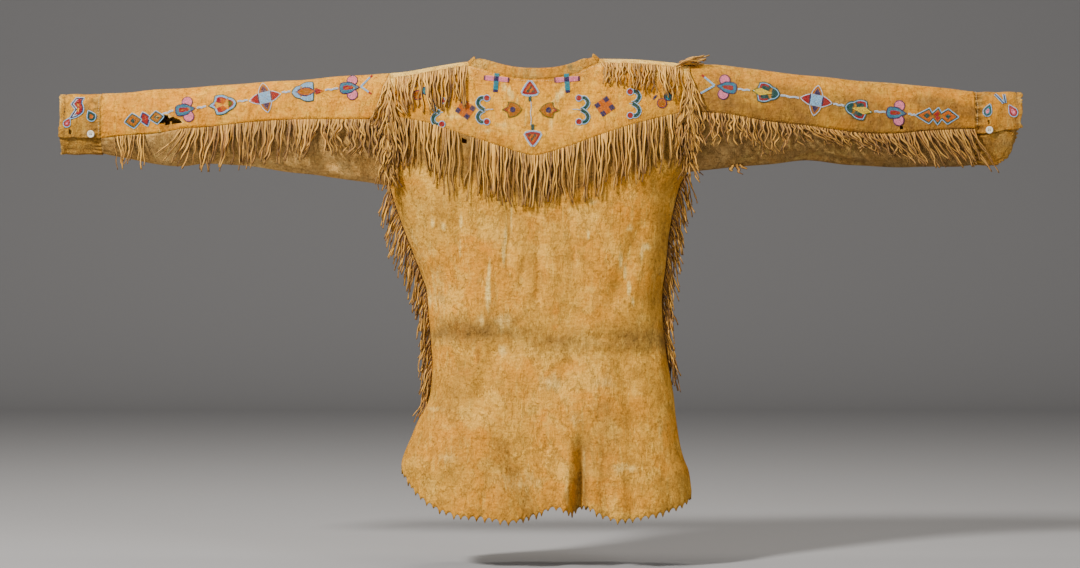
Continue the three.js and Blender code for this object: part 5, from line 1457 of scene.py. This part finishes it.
def strands(name, root, way_out, across, length, width, cloth, seed, curl, splay=0.0, flare=0.0,
            clean=1.0):
    """Curling strands of hide as one mesh.

    Each strand's middle line is root + down * L * t + across * (splay * t + waves), pushed out to the
    cloth's surface plus its own lift, which grows by up to `flare` at the tip. Two to five neighbours
    draw together at their tips. The section turns about that line as it falls. `clean` scales each
    strand's brightness.
    """
    rng = np.random.default_rng(seed)
    n, rings = len(root), STRAND_RINGS
    way_out, across = (np.broadcast_to(np.array(way, float), (n, 3)) for way in (way_out, across))
    t = np.linspace(0, 1, rings)[None, :]
    length = length * rng.uniform(0.80, 1.10, n)
    drop = length[:, None] * t
    clump = np.cumsum(rng.uniform(0, 1, n) < 0.32)
    centre = np.array([root[clump == k].mean(0) for k in range(clump.max() + 1)])[clump]
    shared = rng.uniform(0, 6.3, clump.max() + 1)[clump][:, None]
    gather = np.sum((centre - root) * across, axis=1)[:, None] * rng.uniform(0.2, 0.8, (n, 1))
    phase = rng.uniform(0, 6.3, (n, 2, 1))
    waves = (rng.normal(0, 2.2, (n, 1)) * t ** 1.3 + 2.2 * t * np.sin(4 * t + shared)
             + rng.uniform(0.5, 2.0, (n, 1)) * t * np.sin(rng.uniform(3, 7, (n, 1)) * t + phase[:, 0]))
    ripple = rng.uniform(0.4, 1.3, (n, 1)) * np.sin(rng.uniform(9, 17, (n, 1)) * t + phase[:, 1])
    swing = gather * t + curl * (waves + ripple * smooth(t * 4))
    swing = swing + np.broadcast_to(np.asarray(splay, float), (n,))[:, None] * t ** 1.2
    lift = rng.uniform(0.4, 5.2, (n, 1)) * smooth(t * 3) + curl * rng.uniform(0, 3.4, (n, 1)) * t * (
        1 + np.sin(rng.uniform(3, 8, (n, 1)) * t + phase[:, 1])) / 2
    lift = lift + flare * rng.uniform(0.0, 1.0, (n, 1)) ** 1.4 * t ** 0.7
    line = root[:, None] + across[:, None] * swing[..., None] - np.array([0, 0, 1.0]) * drop[..., None]
    surface = cloth(line)
    bare = np.sum((surface - line) * way_out[:, None], axis=-1)
    bare = np.maximum.accumulate(np.maximum(bare, 0) - 0.06 * drop, axis=1) + 0.06 * drop
    line = line + way_out[:, None] * (bare + lift + 1.1)[..., None]
    tangent = np.gradient(line, axis=1)
    tangent /= np.linalg.norm(tangent, axis=-1, keepdims=True)
    side = np.cross(tangent, np.broadcast_to(way_out[:, None], tangent.shape))
    side /= np.linalg.norm(side, axis=-1, keepdims=True)
    flat = np.cross(side, tangent)
    turn = rng.normal(0, 0.4, (n, 1)) + rng.normal(0, 0.8, (n, 1)) * t
    turn = turn + curl * rng.normal(0, 1.6, (n, 1)) * t ** 2
    wide = width * rng.uniform(0.70, 1.15, (n, 1)) * (1 - 0.30 * t) * (1 + 0.12 * np.sin(14 * t + 3 * turn))
    thick = rng.uniform(1.1, 1.7, (n, 1)) * (1 - 0.35 * t)
    a = side * np.cos(turn)[..., None] + flat * np.sin(turn)[..., None]
    b = flat * np.cos(turn)[..., None] - side * np.sin(turn)[..., None]
    w, h = (wide / 2)[..., None] * a, thick[..., None] * b
    points = (line[:, :, None] + w[:, :, None] * STRAND_SECTION[:, :1]
              + h[:, :, None] * STRAND_SECTION[:, 1:])
    tone = np.repeat(clean * rng.uniform(0, 1, n) ** 0.7, rings * 6)
    tip = np.repeat(np.broadcast_to(smooth((t - 0.75) / 0.25), (n, rings)).ravel(), 6)
    # Dark at the section's two sides, fading over the faces: partly cut edge, partly painted shade.
    edge = np.tile([1.0, 0.10, 0.04, 1.0, 0.10, 0.04], n * rings)
    return new_mesh(name, points.reshape(-1, 3), tube_faces(n, rings, 6, True),
                    {"tone": tone, "tip": tip, "edge": edge})


def front_cloth(line):
    """The nearest point of the front's surface straight ahead of each point."""
    depth = body_depth(-1, line[..., 0], line[..., 2], True)
    return np.stack([line[..., 0], -depth, line[..., 2]], -1)


def sleeve_cloth(sleeve):
    """The same for a sleeve."""
    def surface(line):
        x = line[..., 0]
        middle, high = sleeve_heights(sleeve, x)
        rise = np.clip((line[..., 2] - middle) / high, -1, 1)
        depth = along(sleeve["half"], x) * np.sqrt(1 - rise ** 2) * (1 + EGG * rise)
        return np.stack([x, -depth, line[..., 2]], -1)
    return surface


def value_at(value, x):
    """A number as it is, or a rule for it at x."""
    return value(x) if callable(value) else value


def hanging(name, nodes, start, end, pitch, seam, length, cloth, seed, width, splay=0, curl=1.0,
            bare=-999, clean=1.0):
    """A fringe hanging from a seam that runs across the front, with strands missing at bare."""
    rng = np.random.default_rng(seed + 100)
    n = int((end - start) / pitch)
    x = np.linspace(start, end, n) + rng.normal(0, pitch * 0.2, n)
    x = x[np.abs(x - bare) > 8]
    root = np.stack([x, 0 * x, seam(x)], -1)
    root[:, 1] = cloth(root)[:, 1]
    curl = np.broadcast_to(value_at(curl, x), x.shape)[:, None]
    piece = strands(name, root, (0, -1, 0), (1, 0, 0), value_at(length, x), width, cloth, seed, curl,
                    value_at(splay, x), clean=value_at(clean, x))
    finish(piece, nodes, FRINGE)


YOKE_FRINGE = [(-240, 84), (-186, 86), (-146, 106), (-95, 98), (-52, 95), (-12, 86), (34, 88), (91, 101),
               (141, 105), (161, 107), (201, 90), (246, 90)]
LEFT_FRINGE = [(-617, 44), (-600, 62), (-540, 74), (-440, 72), (-380, 62), (-330, 60), (-273, 72)]
RIGHT_FRINGE = [(285, 60), (350, 48), (405, 62), (440, 36), (520, 32), (590, 38), (640, 56), (700, 60),
                (779, 74)]


def follow(rows):
    """The rule for a value that follows a table."""
    return lambda x: along(rows, x)


def shoulder_seam(x):
    """Height of the front shoulder seam."""
    return ridge(x) - SHOULDER_SEAM_DROP


hanging("yoke_fringe", ["fringe_yoke"], -246, 251, 4.0, follow(YOKE_SEAM), follow(YOKE_FRINGE),
        front_cloth, 1, 4.8, 0, 1.25, -124)
hanging("left_shoulder_fringe", ["fringe_shoulder_left"], -246, -121, 3.5, shoulder_seam,
        lambda x: np.where(x < -200, 64.0, 70.0), front_cloth, 2, 4.8, 0, 1.3)
hanging("right_shoulder_fringe", ["fringe_shoulder_right"], 111, 251, 3.5, shoulder_seam,
        lambda x: lerp(36, 60, (x - 112) / 138), front_cloth, 3, 4.4, 0, 1.5)
hanging("left_sleeve_fringe", ["fringe_sleeve_left"], -618, -272, 3.8, follow(LEFT_SLEEVE["seam"]),
        follow(LEFT_FRINGE), sleeve_cloth(LEFT_SLEEVE), 4, 5.4,
        lambda x: -34 * np.exp(-((x + 620) / 26) ** 2) - 7 * smooth((-x - 330) / 60),
        lambda x: 1.2 + 1.2 * smooth((x + 400) / 60), clean=0.72)
hanging("left_wrist_fringe", ["fringe_wrist_left"], -732, -680, 4.4, follow(LEFT_SLEEVE["seam"]),
        55.0, sleeve_cloth(LEFT_SLEEVE), 5, 3.6)
hanging("right_sleeve_fringe", ["fringe_sleeve_right"], 284, 755, 4.1, follow(RIGHT_SLEEVE["seam"]),
        follow(RIGHT_FRINGE), sleeve_cloth(RIGHT_SLEEVE), 6, 4.6,
        lambda x: 4 + 22 * smooth((x - 400) / 80) + 8 * smooth((x - 600) / 90),
        lambda x: 2.4 - 1.0 * smooth((x - 580) / 80), clean=lambda x: lerp(0.9, 0.5, smooth((x - 340) / 90)))


def upright(name, nodes, top, low, pitch, seam, out, across, length, cloth, seed, width, spread,
            flare=0.0):
    """A fringe in a seam that runs down the body: strands leave it sideways and fall over each other."""
    rng = np.random.default_rng(seed + 100)
    n = int((top - low) / pitch)
    z = np.linspace(top, low, n)
    root = seam(z) + np.array(across) * rng.uniform(-1.6, 1.6, (n, 1))
    splay = rng.uniform(-spread, spread, n) * (1 + 1.3 * np.exp(-(top - z) / 25))
    piece = strands(name, root, out, across, value_at(length, z), width, cloth, seed, 1.9, splay, flare)
    finish(piece, nodes, FRINGE)


def armhole_front(arm):
    """The armhole's front edge, where body and sleeve meet."""
    def seam(z):
        inside = np.full(np.shape(z), arm["plane"] - arm["sign"] * 3.2)
        depth = np.maximum(armhole_depth(arm, arm["top"] - z), body_depth(-1, inside, z))
        return np.stack([np.full(np.shape(z), float(arm["plane"])), -depth, z], -1)
    return seam


def armhole_cloth(arm, sleeve):
    """The body on one side of the armhole's seam, and the sleeve on the other."""
    def surface(line):
        low = np.clip(line[..., 2], arm["bottom"] + 40, arm["top"] - 2)
        seam = armhole_front(arm)(low)
        body = front_cloth(np.stack([line[..., 0], line[..., 1], low], -1))
        outer = sleeve_cloth(sleeve)(np.stack([line[..., 0], line[..., 1], low], -1))
        beyond = arm["sign"] * (line[..., 0] - arm["plane"]) > 0
        near = np.where(beyond[..., None], outer, body)
        return np.where(near[..., 1:2] < seam[..., 1:2], near, seam)
    return surface


def side_cloth(arm, reach):
    """The side seam, and the strands that already hang there."""
    def surface(line):
        x = side_x(arm, np.minimum(line[..., 2], arm["bottom"] - 1)) + arm["sign"] * reach
        return np.stack([x, line[..., 1], line[..., 2]], -1)
    return surface


for side, arm, sleeve, seed in (("left", LEFT_ARM, LEFT_SLEEVE, 7), ("right", RIGHT_ARM, RIGHT_SLEEVE, 8)):
    upright(f"{side}_armhole_fringe", [f"fringe_armhole_{side}"], arm["top"] - 6, arm["bottom"] + 52, 1.35,
            armhole_front(arm), (0, -1, 0), (1, 0, 0), 74.0, armhole_cloth(arm, sleeve), seed, 4.2, 17.0)
WELT_RINGS = 140
for side, arm, low, seed in (("left", LEFT_ARM, -580, 9), ("right", RIGHT_ARM, -520, 10)):
    upright(f"{side}_side_fringe", [f"fringe_side_{side}"], arm["bottom"] - 4, low, 2.6,
            lambda z, arm=arm: np.stack([side_x(arm, z), 0 * z, z], -1), (arm["sign"], 0, 0), (0, 1, 0),
            lambda z: 46 + 8 * smooth((-z - 220) / 80), side_cloth(arm, -7.0), seed, 4.0, 4.0, 15.0)

    z = np.linspace(arm["bottom"] - 3, low - 22, WELT_RINGS)
    bulge = 3 + 0.8 * np.sin(z / 3)
    reach = arm["sign"] * np.stack([0 * z - 5, bulge, bulge, 0 * z - 5], -1)
    points = np.stack([side_x(arm, z)[:, None] + reach, 0 * reach + (-0.6, -0.6, 0.6, 0.6),
                       0 * reach + z[:, None]], -1)
    walls = tube_faces(1, WELT_RINGS, 4)[:, ::arm["sign"]]
    same = np.ones(WELT_RINGS * 4)
    # The welt is painted dark brown, partly the strip edge's own tone and partly painted shade along the side
    # seam.
    welt = new_mesh(f"{side}_side_welt", points.reshape(-1, 3), walls,
                    {"tone": 0.2 * same, "tip": 0 * same, "edge": 0.8 * same})
    finish(welt, [], FRINGE)

# Loose ends: a broad strip that was never cut into strands, a tuft thrown over the right shoulder and
# torn scraps under the right sleeve.

def strip_cloth(line):
    """The front, with the strip's tip lifted off it."""
    return front_cloth(line) - np.array([0, 1.0, 0]) * 7 * smooth((-line[..., 2:] - 205) / 35)


def free(line):
    """No cloth behind: a strand stays where it is."""
    return line


TUFT_STRANDS = 26
strip = strands("broad_strip", np.array([[-74.0, -64.0, -152.0]]), (0, -1, 0), (1, 0, 0),
                np.array([103.0]), 13.0, strip_cloth, 3, 0.4)
tuft_at = np.linspace((240, -30, -15), (262, -6, -8), TUFT_STRANDS)
tuft = strands("shoulder_tuft", tuft_at, (0, -0.35, 0.94), (0.97, 0, 0.24),
               np.linspace(4, 16, TUFT_STRANDS), 3.4, free, 15, 3.0, np.linspace(44, 16, TUFT_STRANDS),
               flare=12.0)
tuft.data.attributes["tone"].data.foreach_set("value", np.full(len(tuft.data.vertices), 0.9))
scraps = strands("torn_scraps", np.array([[340.0, -12, -184], [346, -14, -183], [352, -13, -183]]),
                 (0, -1, 0), (1, 0, 0), np.array([12.0, 16, 9]), 7.0, free, 8, 1.5,
                 np.array([-5.0, 6, 16]))
for piece in (strip, tuft, scraps):
    finish(piece, [], FRINGE)

# ---------------------------------------------------------------- buttons
# Round shell buttons with four holes, each tied to the cuff's lower part with thread.

BUTTON_RADIUS, BUTTON_THICK = 6.3, 2.2
HOLE_AT = 1.35          # the four holes lie this far to both sides of the middle
THREAD_STANDOFF = 0.6   # the thread holds the button this far off the hide


def shell_material(name):
    """Banded shell with its thread holes painted dark, painted shade in the holes."""
    s = Shader(name, Roughness=0.32, Coat_Weight=0.3, Subsurface_Weight=0.1)
    bands = s.noise(420, 3, 0.5, (1, 1, 3))
    shell = s.mix(bands, (0.80, 0.77, 0.70, 1), (0.66, 0.61, 0.52, 1))
    s.feed(Base_Color=s.mix(s.mark("hole"), shell, (0.05, 0.035, 0.02, 1)),
           Normal=s.bump(bands, 0.0002, 0.4))
    return s.material


SHELL = shell_material("shell_button")
for side, cuff, at_x, at_z in (("left", LEFT_CUFF, -772, -130.5), ("right", RIGHT_CUFF, 782, -124)):
    angle = height_angle(at_z, *cuff_heights(cuff))
    at = cuff_points(cuff, np.array(float(at_x)), np.array(angle))
    step = cuff_points(cuff, np.array(float(at_x)), np.array(angle + 0.5)) - at
    step /= np.linalg.norm(step)
    outward = np.cross([1, 0, 0], step)
    outward *= -np.sign(outward[1])
    rim = [(0, 0), (0.92, 0), (1.0, 0.5), (0.97, 0.85), (0.90, 1.0), (0.80, 0.97), (0.68, 0.80)]
    dish = [(share, 0.70) for share in np.linspace(0.58, 0, 15)]
    profile = np.array(rim + dish) * (BUTTON_RADIUS, BUTTON_THICK)
    around = np.linspace(0, 2 * np.pi, 49)[:-1]
    ring = np.cos(around)[:, None] * np.array([1.0, 0, 0]) + np.sin(around)[:, None] * step
    foot = at + outward * THREAD_STANDOFF
    points = foot + ring[:, None] * profile[None, :, :1] + outward * profile[None, :, 1:]
    to_hole = np.hypot(np.abs(np.cos(around)[:, None] * profile[:, 0]) - HOLE_AT,
                       np.abs(np.sin(around)[:, None] * profile[:, 0]) - HOLE_AT)
    hole = smooth((1.05 - to_hole) / 0.35) * (profile[:, 1] > 0.6 * BUTTON_THICK)
    points = points - outward * (1.3 * hole)[..., None]
    # Painted shade: the holes are dented and also painted near black.
    button = new_mesh(f"{side}_button", points.reshape(-1, 3), grid_faces(*points.shape[:2], True),
                      {"hole": hole.ravel()})
    finish(button, [f"button_{side}"], SHELL)
    for across in (-HOLE_AT, HOLE_AT):
        path = (foot + outward * 0.72 * BUTTON_THICK + np.array([across, 0, 0])
                + np.linspace(-2.3, 2.3, 30)[:, None] * step)
        running_stitch(f"{side}_button_thread", path, np.tile(outward, (30, 1)), 4.4, 0.9, SINEW)

# ---------------------------------------------------------------- studio
# A plain pale floor that curves up into a backdrop, soft light from above and a level camera.

FLOOR_REACH, FLOOR_AT = 9000, -880          # how far the floor goes out, and its height
BEND_AT, BEND_RADIUS, WALL_HIGH = 5600, 1500, 6000
across = np.linspace(-FLOOR_REACH, FLOOR_REACH, 3)
bend = np.radians(np.linspace(0, 90, 13))
run = np.r_[-FLOOR_REACH, BEND_AT + BEND_RADIUS * np.sin(bend), BEND_AT + BEND_RADIUS]
lift = np.r_[0, BEND_RADIUS * (1 - np.cos(bend)), WALL_HIGH] + FLOOR_AT
points = np.stack(np.broadcast_arrays(across[:, None], run[None], lift[None]), -1)
backdrop = new_mesh("backdrop", points.reshape(-1, 3), grid_faces(*points.shape[:2]))
backdrop_paint = Shader("pale_backdrop", Roughness=0.95, Base_Color=(0.27, 0.27, 0.28, 1))
backdrop.data.materials.append(backdrop_paint.material)

DISTANCE, FRAME_WIDE, FACE = 4500.0, 1857.6, -50.0     # the frame is this wide at the shirt's face
SENSOR = 36
camera = bpy.data.cameras.new("camera")
camera.sensor_width = SENSOR
camera.lens = SENSOR * DISTANCE / FRAME_WIDE
eye = bpy.data.objects.new("camera", camera)
eye.location = (5.2 * MM, (FACE - DISTANCE) * MM, -390.4 * MM)
eye.rotation_euler = (np.radians(90), 0, 0)
bpy.context.scene.collection.objects.link(eye)
bpy.context.scene.camera = eye


def soft_light(name, place, aim, size, power, colour=(1, 1, 1)):
    """A square area light that looks from one place to another, in metres."""
    light = bpy.data.lights.new(name, "AREA")
    light.size, light.energy, light.color = size, power, colour
    lamp = bpy.data.objects.new(name, light)
    lamp.location = place
    lamp.rotation_euler = (Vector(aim) - Vector(place)).to_track_quat("-Z", "Y").to_euler()
    bpy.context.scene.collection.objects.link(lamp)


soft_light("key", (-2.6, -2.8, 2.6), (0, 0, -0.4), 0.6, 450, (1, 0.96, 0.90))
soft_light("fill", (3.0, -3.0, 1.4), (0, 0, -0.4), 1.8, 75, (1, 0.97, 0.93))
soft_light("top", (0, 0.3, 2.6), (0, 0.2, -0.4), 1.6, 80, (1, 0.93, 0.82))
soft_light("low", (-0.8, -3.2, -0.7), (0, 0, -0.2), 1.4, 26, (1, 0.95, 0.88))
world = bpy.data.worlds.new("world")
world.use_nodes = True
world.node_tree.nodes["Background"].inputs["Color"].default_value = (1, 0.97, 0.94, 1)
world.node_tree.nodes["Background"].inputs["Strength"].default_value = 0.18
bpy.context.scene.world = world
